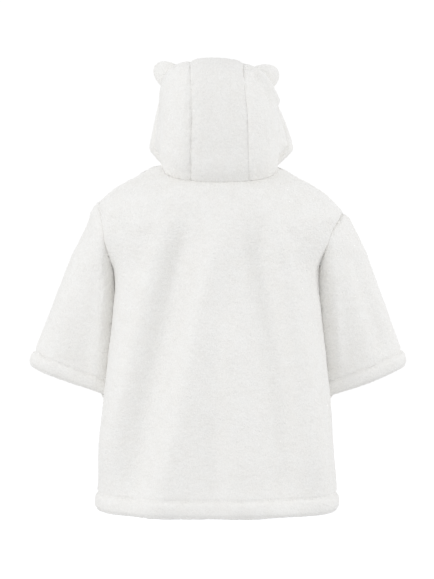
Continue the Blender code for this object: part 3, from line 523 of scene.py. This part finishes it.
def hood_side_surface(across, up, hand):
    """Points of a side panel. across runs from the middle strip to the face, up from neck to crown."""
    across, up = np.broadcast_arrays(np.asarray(across, float), np.asarray(up, float))
    flip, shift = hood_shift(hand)
    plain = hood_plain(across, up, hand)
    behind = STRIP_SHARE + (1 - STRIP_SHARE) * across / HOOD_SIDE
    ahead = 1 + (across - HOOD_SIDE) / (1 - HOOD_SIDE)
    neck = (neckline(np.where(across <= HOOD_SIDE, behind, ahead), hand) - shift) * flip
    crown = hood_seam(HOOD_CORNER + (1 - HOOD_CORNER) * across)
    to_neck = (1 - ease(up / NECK_FIT))[..., None]
    to_crown = ease((up - CROWN_FIT) / (1 - CROWN_FIT))[..., None]
    fitted = plain + (neck - hood_plain(across, np.zeros_like(up), hand)) * to_neck
    fitted = fitted + (crown - hood_plain(across, np.ones_like(up), hand)) * to_crown
    return lean(fitted * flip + shift)


def strip_plain(across, along):
    """The middle strip before it is fitted to the neck: across its two seams, rounded up between them."""
    step = 1e-3
    run = hood_seam(np.clip(along + step, 0, 1)) - hood_seam(np.clip(along - step, 0, 1))
    outward = unit(np.stack([np.zeros_like(along), run[..., 2], -run[..., 1]], -1))
    between = np.stack([across, np.ones_like(across), np.ones_like(across)], -1)
    round_up = outward * (MIDDLE_BULGE * (1 - across**2))[..., None]
    return hood_seam(along) * between + round_up + np.array((NECK_SHIFT, 0.0, 0.0))


def hood_strip_surface(across, along):
    """Points of the middle strip. across runs from -1 to 1, along from nape to forehead."""
    across, along = np.broadcast_arrays(np.asarray(across, float), np.asarray(along, float))
    around = np.abs(across) * STRIP_SHARE
    nape = np.where((across >= 0)[..., None], neckline(around, "left"), neckline(around, "right"))
    to_neck = (1 - ease(along / (NECK_FIT * HOOD_CORNER)))[..., None]
    start = strip_plain(across, np.zeros_like(along))
    return lean(strip_plain(across, along) + (nape - start) * to_neck)


# ---------------- relief
def fold_relief(points, name):
    """How far the folds of one piece lift each point."""
    x, z = points[..., 0], points[..., 2]
    total = np.zeros_like(x)
    for x0, z0, x1, z1, bow, width0, width1, rise in zip(*FOLDS[name].values()):
        length = math.hypot(x1 - x0, z1 - z0)
        along = ((x - x0) * (x1 - x0) + (z - z0) * (z1 - z0)) / length**2
        off = ((x - x0) * (z1 - z0) - (z - z0) * (x1 - x0)) / length
        inside = np.clip(along, 0, 1)
        off = off - 4 * bow * inside * (1 - inside)
        width = width0 + (width1 - width0) * inside
        ends = ease(along / 0.25 + 0.5) * ease((1 - along) / 0.25 + 0.5)
        total = total + rise * np.exp(-((off / width) ** 2)) * ends
    return total


def dip(distance, depth, reach):
    return -depth * np.exp(-((distance / reach) ** 2))


def seam_relief(distance, points):
    """A seam: a soft dip, puckered by the stitches, with a narrow groove along its middle."""
    puckered = 1 + PUCKER * soft_noise(points + 2.7, PUCKER_SIZE)
    drawn = dip(distance, SEAM_DIP, SEAM_REACH) * puckered + dip(distance, SEAM_CUT, SEAM_CUT_REACH)
    start, end = SEAM_LOOSE
    return drawn * (1 - (1 - SEAM_LEFT) * ease((points[..., 2] - start) / (end - start)))


def hem_relief(distance, hem):
    """A turned hem: a soft roll up to its line of stitches, which draws the cloth in."""
    share = np.clip(distance / hem, 0, 1)
    roll = np.sqrt(np.clip(1 - (1 - 2 * share) ** 2, 0, 1))
    swell = HEM_SWELL * roll - HEM_TUCK * (1 - roll) * (distance < hem)
    return swell + dip(distance - hem, STITCH_DIP, STITCH_REACH)


def hem_layer(distance, hem):
    """How far a hem's second layer stands in."""
    return HEM_LAYER * (1 - ease((distance - hem * 0.8) / (hem * 0.2)))


# ---------------- pile
NOISE = np.random.default_rng(20).uniform(-1, 1, (4096, 4))


def cell_values(cell):
    """Four repeatable numbers for each cell of space."""
    at = (cell[..., 0] * 73 + cell[..., 1] * 1531 + cell[..., 2] * 919) % len(NOISE)
    return NOISE[at]


def soft_noise(points, size):
    """Noise from -1 to 1 with features of about the given size."""
    place = points / size
    low = np.floor(place).astype(int)
    part = place - low
    part = part * part * (3 - 2 * part)
    total = np.zeros(points.shape[:-1])
    for corner in np.ndindex(2, 2, 2):
        share = np.prod(np.where(np.array(corner) == 1, part, 1 - part), -1)
        total += share * cell_values(low + np.array(corner))[..., 0]
    return total


def clumps(points, size):
    """Height from 0 to 1 of round clumps of pile, as bobbles with creases between them."""
    place = points / size
    low = np.floor(place).astype(int)
    nearest = np.full(points.shape[:-1], 9.0)
    for step in np.ndindex(3, 3, 3):
        cell = low + np.array(step) - 1
        centre = cell + 0.5 + 0.42 * cell_values(cell)[..., 1:]
        nearest = np.minimum(nearest, np.linalg.norm(place - centre, axis=-1))
    return np.clip(1 - nearest**2, 0, 1)


def pile(points):
    """How far the pile stands out at each point of the cloth."""
    warped = points + 0.0016 * np.stack([soft_noise(points + k, 0.006) for k in (0.0, 3.1, 7.7)], -1)
    clump = PILE * (clumps(warped, CLUMP) - 0.5)
    fibre = 0.35 * PILE * soft_noise(points + 1.3, 0.0026)
    return clump + fibre + LUMP * soft_noise(points + 5.5, LUMP_SIZE)


# ---------------- shells
def hem_rows(hem, cell):
    return round(hem * HEM_INSIDE / cell)


class Panel:
    """The grid of one piece: rows by columns of points, the lift of the cloth at each, how far each is
    from the fold of the piece's hem, along which its first row runs, and that hem's height."""

    def __init__(self, name, points, lift, fold, hem, centre, cell, roll=1.0, closed=False):
        self.name = name
        self.base = points
        self.lift = lift
        self.swell = hem_relief(fold, hem) * roll
        self.layer = hem_layer(fold, hem) * roll
        self.hem_rows = hem_rows(hem, cell)  # rows that the fine grid goes up inside the hem
        self.roll = np.broadcast_to(roll, points.shape[1])  # share of the fold's full size, by column
        self.closed = closed
        self.weighed = self.corner_normals()
        if (self.weighed * (points - centre)).sum() < 0:
            self.weighed = -self.weighed
        self.normal = unit(self.weighed)
        self.mitre = np.ones(points.shape[:2])

    def corner_normals(self):
        """At each point, the sum of the normals of the cells round it, each times its angle there."""
        points = np.concatenate([self.base, self.base[:, :1]], 1) if self.closed else self.base
        corners = [points[:-1, :-1], points[:-1, 1:], points[1:, 1:], points[1:, :-1]]
        cell = unit(np.cross(corners[2] - corners[0], corners[3] - corners[1]))
        total = np.zeros_like(points)
        places = [(slice(None, -1), slice(None, -1)), (slice(None, -1), slice(1, None))]
        places += [(slice(1, None), slice(1, None)), (slice(1, None), slice(None, -1))]
        for k, place in enumerate(places):
            one = unit(corners[(k + 1) % 4] - corners[k])
            other = unit(corners[k - 1] - corners[k])
            angle = np.arccos(np.clip((one * other).sum(-1), -1, 1))
            total[place] += cell * angle[..., None]
        if self.closed:
            total[:, 0] += total[:, -1]
            total = total[:, :-1]
        return total

    def border(self):
        """Indices of the points on the piece's edges."""
        rows, columns = self.base.shape[:2]
        for i in range(rows):
            for j in range(columns):
                if i in (0, rows - 1) or (not self.closed and j in (0, columns - 1)):
                    yield i, j

    def outer(self):
        return self.base + self.normal * (self.lift + self.swell)[..., None]

    def inner(self):
        height = self.lift - CLOTH * self.mitre - self.layer
        return self.base + self.normal * height[..., None]

    def cloth(self):
        """The fine grid, from inside the hem round its fold and over the outer face, with its pile."""
        outer, inner = self.outer(), self.inner()
        middle, half = (outer[0] + inner[0]) / 2, (outer[0] - inner[0]) / 2
        beyond = unit(self.base[0] - self.base[1])
        turned, turned_way = [], []
        for step in range(1, FOLD_STEPS):
            turn = math.pi * step / FOLD_STEPS
            lip = beyond * (HEM_LIP * math.sin(turn) * self.roll)[:, None]
            turned.append(middle - half * math.cos(turn) + lip)
            turned_way.append(unit(-unit(half) * math.cos(turn) + beyond * math.sin(turn)))
        inside = np.arange(self.hem_rows, -1, -1)
        grid = np.concatenate([inner[inside], np.array(turned), outer])
        way = np.concatenate([-self.normal[inside], np.array(turned_way), self.normal])
        rest = np.concatenate([inner[inside], np.array(turned), self.base])
        return grid + way * pile(rest)[..., None], inner


def sew(panels):
    """Gives pieces that share a point of a seam one normal, one mitre and one height there."""
    shared = {}
    for panel in panels:
        for i, j in panel.border():
            place = tuple(np.round(panel.base[i, j], 6).tolist())
            shared.setdefault(place, []).append((panel, i, j))
    for members in shared.values():
        if len({id(p) for p, _, _ in members}) < 2:
            continue
        normal = unit(sum(p.weighed[i, j] for p, i, j in members))
        cosine = np.mean([float(normal @ p.normal[i, j]) for p, i, j in members])
        heights = np.mean([(p.lift[i, j], p.swell[i, j], p.layer[i, j]) for p, i, j in members], 0)
        for panel, i, j in members:
            panel.lift[i, j], panel.swell[i, j], panel.layer[i, j] = heights
            panel.mitre[i, j] = min(1 / max(cosine, 0.1), MOST_MITRE)
        for panel, i, j in members:
            panel.normal[i, j] = normal


def steps_to(first, last):
    """Every INNER_STEP-th number from first, ending with last."""
    return sorted({*range(first, last, INNER_STEP), last})


def shell(panel):
    """The closed mesh of a piece."""
    fine, inner = panel.cloth()
    rows, columns = fine.shape[:2]
    first = rows - len(inner)  # the fine grid's row at the fold's outer end
    hem = panel.hem_rows
    spans = columns if panel.closed else columns - 1

    def at(i, j):
        return i * columns + j % columns

    i, j = np.meshgrid(np.arange(rows - 1), np.arange(spans), indexing="ij")
    quads = np.stack([at(i, j), at(i, j + 1), at(i + 1, j + 1), at(i + 1, j)], -1).reshape(-1, 4)

    inner_rows = steps_to(hem, len(inner) - 1)
    inner_columns = steps_to(0, columns if panel.closed else columns - 1)
    held = [c for c in inner_columns if c < columns]
    coarse = inner[np.ix_(inner_rows[1:], held)].reshape(-1, 3)

    def back(a, b):
        """The inner face's point of one of its rows and columns; its first row is the fine grid's."""
        if a == 0:
            return at(0, inner_columns[b])
        return rows * columns + (a - 1) * len(held) + b % len(held)

    across = len(inner_columns) - 1
    smooth_faces, walls = [], []
    for b in range(across):
        edge = [at(0, c) for c in range(inner_columns[b], inner_columns[b + 1] + 1)]
        smooth_faces.append(edge[::-1] + [back(1, b), back(1, b + 1)])
        edge = [at(rows - 1, c) for c in range(inner_columns[b], inner_columns[b + 1] + 1)]
        top = len(inner_rows) - 1
        walls.append(edge + [back(top, b + 1), back(top, b)])
    for a in range(1, len(inner_rows) - 1):
        for b in range(across):
            smooth_faces.append([back(a, b), back(a + 1, b), back(a + 1, b + 1), back(a, b + 1)])
    if not panel.closed:
        for c, b, way in ((0, 0, 1), (columns - 1, across, -1)):
            sides = [[at(r, c) for r in range(hem, first + 1)]]
            for k in range(hem):
                sides.append([at(first + k, c), at(first + k + 1, c), at(hem - k - 1, c), at(hem - k, c)])
            for a in range(len(inner_rows) - 1):
                edge = [at(first + k, c) for k in range(inner_rows[a], inner_rows[a + 1] + 1)]
                sides.append(edge + [back(a + 1, b), back(a, b)])
            walls += [side[::way] for side in sides]
    points = np.concatenate([fine.reshape(-1, 3), coarse])
    faces = quads.tolist() + smooth_faces + walls
    return add_piece(panel.name, points, faces, len(walls))


def add_piece(node, points, faces, flat=0):
    """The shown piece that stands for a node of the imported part. Its last faces, flat in number, are
    the only ones not shaded smooth."""
    mesh = bpy.data.meshes.new(node)
    mesh.from_pydata(points.tolist(), [], faces)
    mesh.polygons.foreach_set("use_smooth", [True] * (len(faces) - flat) + [False] * flat)
    turned = bmesh.new()
    turned.from_mesh(mesh)
    bmesh.ops.recalc_face_normals(turned, faces=turned.faces)
    turned.to_mesh(mesh)
    turned.free()
    made = bpy.data.objects.new(f"{node}_fleece", mesh)
    bpy.context.scene.collection.objects.link(made)
    # the hood's middle strip gets a copy of the fleece with painted shade, a little darker
    if node == "hood_middle":
        mesh.materials.append(fleece("white_fleece_painted_shade", STRIP_PAINTED_SHADE))
    else:
        mesh.materials.append(fleece("white_fleece", 1.0))
    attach(made, "root")
    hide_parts(node)
    return made


# ---------------- pieces
def edge_distances(points):
    """How far each grid point is from the first and last column, along its row, and from the first and
    last row, along its column."""
    across = np.linalg.norm(np.diff(points, axis=1), axis=-1)
    first = np.concatenate([np.zeros((len(points), 1)), np.cumsum(across, 1)], 1)
    last = first[:, -1:] - first
    up = np.linalg.norm(np.diff(points, axis=0), axis=-1)
    bottom = np.concatenate([np.zeros((1, points.shape[1])), np.cumsum(up, 0)], 0)
    top = bottom[-1:] - bottom
    return first, last, bottom, top


def stations(hem, length):
    """Distances from a hem's fold at which rows lie: evenly up the hem, then evenly to the far end."""
    turned = hem * HEM_INSIDE
    rest = round((length - turned) / CELL)
    beyond = np.linspace(turned, length, rest + 1)[1:]
    return np.concatenate([np.linspace(0, turned, hem_rows(hem, CELL) + 1), beyond])


def soften(points, held):
    """Evens out the surface up and down, by each point's share in held."""
    soft = points.copy()
    share = 0.5 * held[1:-1, :, None]
    for _ in range(SOFTEN_STEPS):
        soft[1:-1] += share * ((soft[:-2] + soft[2:]) / 2 - soft[1:-1])
    return soft


def hood_seam_relief(distance, points):
    """A seam beside the middle strip. Below the crown the right one is pulled nearly flat."""
    flat = ease((STEP_TOP - points[..., 2]) / 0.03) * (points[..., 0] < 0)
    return seam_relief(distance, points) * (1 - (1 - STEP_SEAM) * flat)


def seam_step(distance, points):
    """Below the crown the hood's right side panel stands up beside its seam."""
    below = ease((STEP_TOP - points[..., 2]) / 0.02)
    share = distance / STEP_REACH
    return STEP * 2.7 * share**2 * np.exp(-(share**2)) * below  # 2.7 brings the crest to the full step


def body_panel(name, side):
    """The front or the back, from hem to neck."""
    skirt = ARMPIT_HEIGHT - HEM_HEIGHT
    rows = np.concatenate(
        [
            stations(HEM, skirt) / skirt,
            1 + np.arange(1, ARMHOLE_ROWS + 1) / ARMHOLE_ROWS,
            2 + np.arange(1, SHOULDER_ROWS + 1) / SHOULDER_ROWS,
        ]
    )
    columns = np.arange(-HALF_COLUMNS, HALF_COLUMNS + 1) / HALF_COLUMNS
    points = body_surface(columns[None, :], rows[:, None], side)
    first, last, bottom, top = edge_distances(points)
    side_seam = np.minimum(first, last)
    inside = ease((side_seam - SOFTEN_HELD) / SOFTEN_FADE) * ease((top - SOFTEN_HELD) / SOFTEN_FADE)
    points = soften(points, inside * ease((bottom - HEM) / SOFTEN_FADE))
    fade = ease((side_seam - FOLD_START) / FOLD_SIDE) * ease((top - FOLD_START) / FOLD_TOP)
    seams = np.minimum(seam_relief(side_seam, points), NECK_SEAM * seam_relief(top, points))
    lift = fold_relief(points, name) * fade + seams
    return Panel(name, points, lift, bottom, HEM, BODY_CENTRE, CELL)


def sleeve_panel(hand):
    """A sleeve, from cuff to armhole."""
    along = 1 - stations(CUFF_HEM, SLEEVE_LENGTH) / SLEEVE_LENGTH
    around = np.arange(2 * ARMHOLE_ROWS) / (2 * ARMHOLE_ROWS)
    points = sleeve_surface(around[None, :], along[:, None], hand)
    _, _, end, start = edge_distances(points)
    name = f"sleeve_{hand}"
    lift = fold_relief(points, name) * ease((start - FOLD_START) / FOLD_TOP)
    lift = lift + seam_relief(start, points)
    centre = points.mean(1, keepdims=True)
    return Panel(name, points, lift, end, CUFF_HEM, centre, CELL, closed=True)


def hood_columns():
    """Columns of a side panel from the middle strip to the face: as many behind its widest line, and
    ahead of it, as the neck seam has points there."""
    behind = np.linspace(0, HOOD_SIDE, HALF_COLUMNS - STRIP_COLUMNS + 1)
    return np.concatenate([behind, np.linspace(HOOD_SIDE, 1, HALF_COLUMNS + 1)[1:]])


def ear_creases(across, up, hand):
    """The creases beside an ear, on the quarter round of the side panel behind its widest line."""
    column = HOOD_SOLID_COLUMNS * (STRIP_SHARE + (1 - STRIP_SHARE) * across / HOOD_SIDE)
    wide, high = EAR_CREASE_SCALE
    total = 0.0 * column * up
    for column0, up0, column1, up1, width, rise in zip(*EAR_CREASES[hand].values()):
        run = np.array(((column1 - column0) * wide, (up1 - up0) * high))
        length = np.hypot(*run)
        x, y = (column - column0) * wide, (up - up0) * high
        along = (x * run[0] + y * run[1]) / length**2
        off = (x * run[1] - y * run[0]) / length
        ends = ease(along / 0.2 + 0.5) * ease((1 - along) / 0.2 + 0.5)
        total = total + rise * np.exp(-((off / width) ** 2)) * ends
    return total


def flap_trough(across, up):
    """The hollow ahead of the hood's widest line, from which its front edge flares out as a flap."""
    along = ease(up / 0.10) * (1 - ease((up - FLAP_TOP) / 0.22))
    return -FLAP_TROUGH * np.exp(-(((across - FLAP_ACROSS) / FLAP_WIDTH) ** 2)) * along


def hood_side_panel(hand):
    """A side of the hood, its rows from the face to the middle strip and its columns up from the neck."""
    up = np.linspace(0, 1, HOOD_ROWS + 1)
    across = hood_columns()[::-1]
    points = hood_side_surface(across[:, None], up[None, :], hand)
    neck, crown, face, back = edge_distances(points)
    seams = np.minimum(np.minimum(back, neck), crown)
    start, over = HOOD_FOLD_BEHIND
    fade = ease((seams - HOOD_FOLD_START) / HOOD_FOLD_REACH) * ease((points[..., 1] - start) / over)
    name = f"hood_{hand}"
    sides = hood_seam_relief(np.minimum(back, crown), points)
    lift = np.minimum(sides, NECK_SEAM * seam_relief(neck, points))
    lift = lift + fold_relief(points, name) * fade
    lift = lift + flap_trough(across[:, None], up[None, :])
    if hand == "right":
        lift = lift + seam_step(back, points)
    creases = ear_creases(across[:, None], up[None, :], hand)
    lift = lift + creases * ease((seams - CREASE_START) / CREASE_REACH)
    roll = ease(up * HOOD_SOLID_ROWS / HEM_START)
    return Panel(name, points, lift, face, FACE_HEM, HOOD_CENTRE, HOOD_CELL, roll)


def hood_strip_panel():
    """The strip over the middle of the hood, from forehead to nape."""
    back = np.linspace(0, HOOD_CORNER, HOOD_ROWS + 1)
    crown = HOOD_CORNER + (1 - HOOD_CORNER) * hood_columns()
    along = np.concatenate([back, crown[1:]])[::-1]
    across = np.arange(-STRIP_COLUMNS, STRIP_COLUMNS + 1) / STRIP_COLUMNS
    points = hood_strip_surface(across[None, :], along[:, None])
    left, right, face, neck = edge_distances(points)
    sides = hood_seam_relief(np.minimum(left, right), points)
    lift = np.minimum(sides, NECK_SEAM * seam_relief(neck, points))
    return Panel("hood_middle", points, lift, face, FACE_HEM, HOOD_CENTRE, HOOD_CELL)


def patch(grid, row, column):
    """Points on the faces of a grid, between its rows and columns."""
    i = np.clip(np.floor(row).astype(int), 0, grid.shape[0] - 2)
    j = np.clip(np.floor(column).astype(int), 0, grid.shape[1] - 2)
    s, t = (row - i)[..., None], (column - j)[..., None]
    a, b, c, d = grid[i, j], grid[i, j + 1], grid[i + 1, j + 1], grid[i + 1, j]
    return a * (1 - s) * (1 - t) + b * (1 - s) * t + c * s * t + d * s * (1 - t)


def ear(hand, hood):
    """A stuffed round ear: a dome over an oval of the side panel's own outer face."""
    steps = np.sin(np.linspace(-1, 1, EAR_CELLS + 1) * math.pi / 2)
    u, v = np.meshgrid(steps, steps, indexing="ij")
    along = u * np.sqrt(1 - v**2 / 2)
    thick = v * np.sqrt(1 - u**2 / 2)
    first, last = EAR_ROWS[hand]
    up = (first + (last - first) * (1 + along) / 2) * HOOD_ROWS
    behind, ahead = EAR_COLUMNS[hand]
    column = (behind + (ahead - behind) * (1 + thick) / 2) * HALF_COLUMNS / HOOD_SOLID_COLUMNS
    row = 2 * HALF_COLUMNS - STRIP_COLUMNS - column
    base = patch(hood.outer(), row, up) + unit(patch(hood.normal, row, up)) * EAR_GAP
    axis = unit(np.array(EAR_AXIS) * hood_shift(hand)[0])
    radius = np.clip(1 - along**2 - thick**2, 0, 1)
    dome = base + axis * (EAR_HEIGHT[hand] * np.sqrt(radius))[..., None]
    middle = base.mean((0, 1))
    dome = dome + unit(dome - middle) * (pile(dome) * np.sqrt(radius))[..., None]
    rim = np.zeros(u.shape, bool)
    rim[[0, -1]] = rim[:, [0, -1]] = True
    number = np.arange(u.size).reshape(u.shape)
    raised = np.where(rim, number, 0)
    raised[~rim] = u.size + np.arange((~rim).sum())
    points = np.concatenate([base.reshape(-1, 3), dome[~rim]])

    def cells(grid):
        return np.stack([grid[:-1, :-1], grid[:-1, 1:], grid[1:, 1:], grid[1:, :-1]], -1).reshape(-1, 4)

    faces = cells(raised).tolist() + cells(number)[:, ::-1].tolist()
    add_piece(f"ear_{hand}", points, faces)


# ---------------- finish
def fill(tree, node, inputs):
    """Gives each input its value, or a link from the output that stands for it."""
    for key, given in inputs.items():
        if isinstance(given, bpy.types.NodeSocket):
            tree.links.new(given, node.inputs[key])
        else:
            node.inputs[key].default_value = given


def add_node(tree, kind, inputs):
    node = tree.nodes.new("ShaderNode" + kind)
    fill(tree, node, inputs)
    return node


def fleece(name, painted_shade_scale):
    """White boa fleece: clumps of fine curly pile, matt with a soft sheen at its edges; a scale under 1
    darkens its colours as painted shade.
    """
    material = bpy.data.materials.get(name)
    if material is not None:
        return material
    material = bpy.data.materials.new(name)
    material.use_nodes = True
    tree = material.node_tree
    place = add_node(tree, "TexCoord", {}).outputs["Object"]

    def noise(scale, detail):
        inputs = {"Scale": scale, "Detail": detail, "Vector": place}
        return add_node(tree, "TexNoise", inputs).outputs["Fac"]

    def ramp(value, low, high):
        node = add_node(tree, "ValToRGB", {"Fac": value})
        node.color_ramp.elements[0].position, node.color_ramp.elements[0].color = low
        node.color_ramp.elements[1].position, node.color_ramp.elements[1].color = high
        return node.outputs["Color"]

    # painted shade: a scale under 1 darkens both colours, for the hood's middle strip
    shade, white = [tuple(painted_shade_scale * c for c in colour[:3]) + (1.0,) for colour in (SHADE, WHITE)]
    patches = ramp(noise(60.0, 4.0), (0.35, shade), (0.65, white))
    speck = ramp(noise(520.0, 3.0), (0.36, (0.95, 0.95, 0.95, 1)), (0.60, (1, 1, 1, 1)))
    mixed = add_node(tree, "Mix", {})
    mixed.data_type, mixed.blend_type = "RGBA", "MULTIPLY"
    fill(tree, mixed, {"Factor": 1.0, "A": patches, "B": speck})

    coarse = {"Distance": 0.0011, "Strength": 1.0, "Height": noise(330.0, 3.0)}
    bump = add_node(tree, "Bump", coarse).outputs["Normal"]
    fine = {"Distance": 0.0005, "Strength": 1.0, "Height": noise(900.0, 3.0), "Normal": bump}
    surface = {
        "Roughness": 1.0,
        "Specular IOR Level": 0.15,
        "Sheen Weight": 0.25,
        "Sheen Roughness": 0.6,
        "Base Color": mixed.outputs["Result"],
        "Normal": add_node(tree, "Bump", fine).outputs["Normal"],
    }
    fill(tree, tree.nodes["Principled BSDF"], surface)
    return material


# ---------------- studio
def studio():
    """White surroundings, a soft light from either side, the floor and the camera."""
    scene = bpy.context.scene
    scene.view_settings.view_transform = "Standard"
    world = bpy.data.worlds.new("studio")
    scene.world = world
    world.use_nodes = True
    tree = world.node_tree
    way = add_node(tree, "TexCoord", {}).outputs["Generated"]
    tilt = add_node(tree, "VectorMath", {0: way, 1: SKY_TILT})
    tilt.operation = "DOT_PRODUCT"
    level = add_node(tree, "Math", {0: tilt.outputs["Value"], 1: SKY_STRENGTH})
    height = add_node(tree, "SeparateXYZ", {0: way}).outputs["Z"]
    span = {"From Min": -1.0, "From Max": -0.1, "To Min": SKY_BELOW, "To Max": 1.0}
    below = add_node(tree, "MapRange", {"Value": height, **span})
    below.interpolation_type = "SMOOTHSTEP"
    shaded = add_node(tree, "Math", {0: level.outputs["Value"], 1: below.outputs["Result"]})
    shaded.operation = "MULTIPLY"
    soft = tree.nodes["Background"]
    fill(tree, soft, {"Color": SKY, "Strength": shaded.outputs["Value"]})
    seen = add_node(tree, "Background", {"Color": (1, 1, 1, 1), "Strength": SEEN_STRENGTH})
    by_camera = add_node(tree, "LightPath", {}).outputs["Is Camera Ray"]
    choice = {"Fac": by_camera, 1: soft.outputs["Background"], 2: seen.outputs["Background"]}
    mixed = add_node(tree, "MixShader", choice)
    fill(tree, tree.nodes["World Output"], {"Surface": mixed.outputs["Shader"]})

    for name, place, power in LIGHTS:
        data = bpy.data.lights.new(name, "AREA")
        data.shape = "DISK"
        data.size = LIGHT_SIZE
        data.energy = power
        light = bpy.data.objects.new(name, data)
        light.location = place
        light.rotation_euler = (Vector(LIGHT_AIM) - Vector(place)).to_track_quat("-Z", "Y").to_euler()
        scene.collection.objects.link(light)

    floor_mesh = bpy.data.meshes.new("floor")
    turns = [k * math.tau / FLOOR_SIDES for k in range(FLOOR_SIDES)]
    rim = [(FLOOR_REACH * math.cos(t), FLOOR_REACH * math.sin(t), FLOOR_HEIGHT) for t in turns]
    floor_mesh.from_pydata(rim, [], [tuple(range(FLOOR_SIDES))])
    floor = bpy.data.objects.new("floor", floor_mesh)
    scene.collection.objects.link(floor)
    pale = bpy.data.materials.new("pale_floor")
    pale.use_nodes = True
    matt = {"Base Color": (0.8, 0.8, 0.8, 1), "Roughness": 1.0, "Specular IOR Level": 0.0}
    glow = {"Emission Color": (1, 1, 1, 1), "Emission Strength": FLOOR_GLOW}
    fill(pale.node_tree, pale.node_tree.nodes["Principled BSDF"], {**matt, **glow})
    floor_mesh.materials.append(pale)
    floor.visible_diffuse = False
    floor.visible_glossy = False

    data = bpy.data.cameras.new("camera")
    data.lens, data.sensor_width = LENS, 36.0
    camera = bpy.data.objects.new("camera", data)
    camera.location = CAMERA_PLACE
    camera.rotation_euler = (math.pi / 2, 0.0, math.pi)
    scene.collection.objects.link(camera)
    scene.camera = camera


def build():
    """All pieces of the garment, sewn along their seams."""
    panels = [
        body_panel("back", 1),
        body_panel("front", -1),
        sleeve_panel("left"),
        sleeve_panel("right"),
        hood_side_panel("left"),
        hood_side_panel("right"),
        hood_strip_panel(),
    ]
    sew(panels)
    for panel in panels:
        shell(panel)
    ear("left", panels[4])
    ear("right", panels[5])


build()
studio()
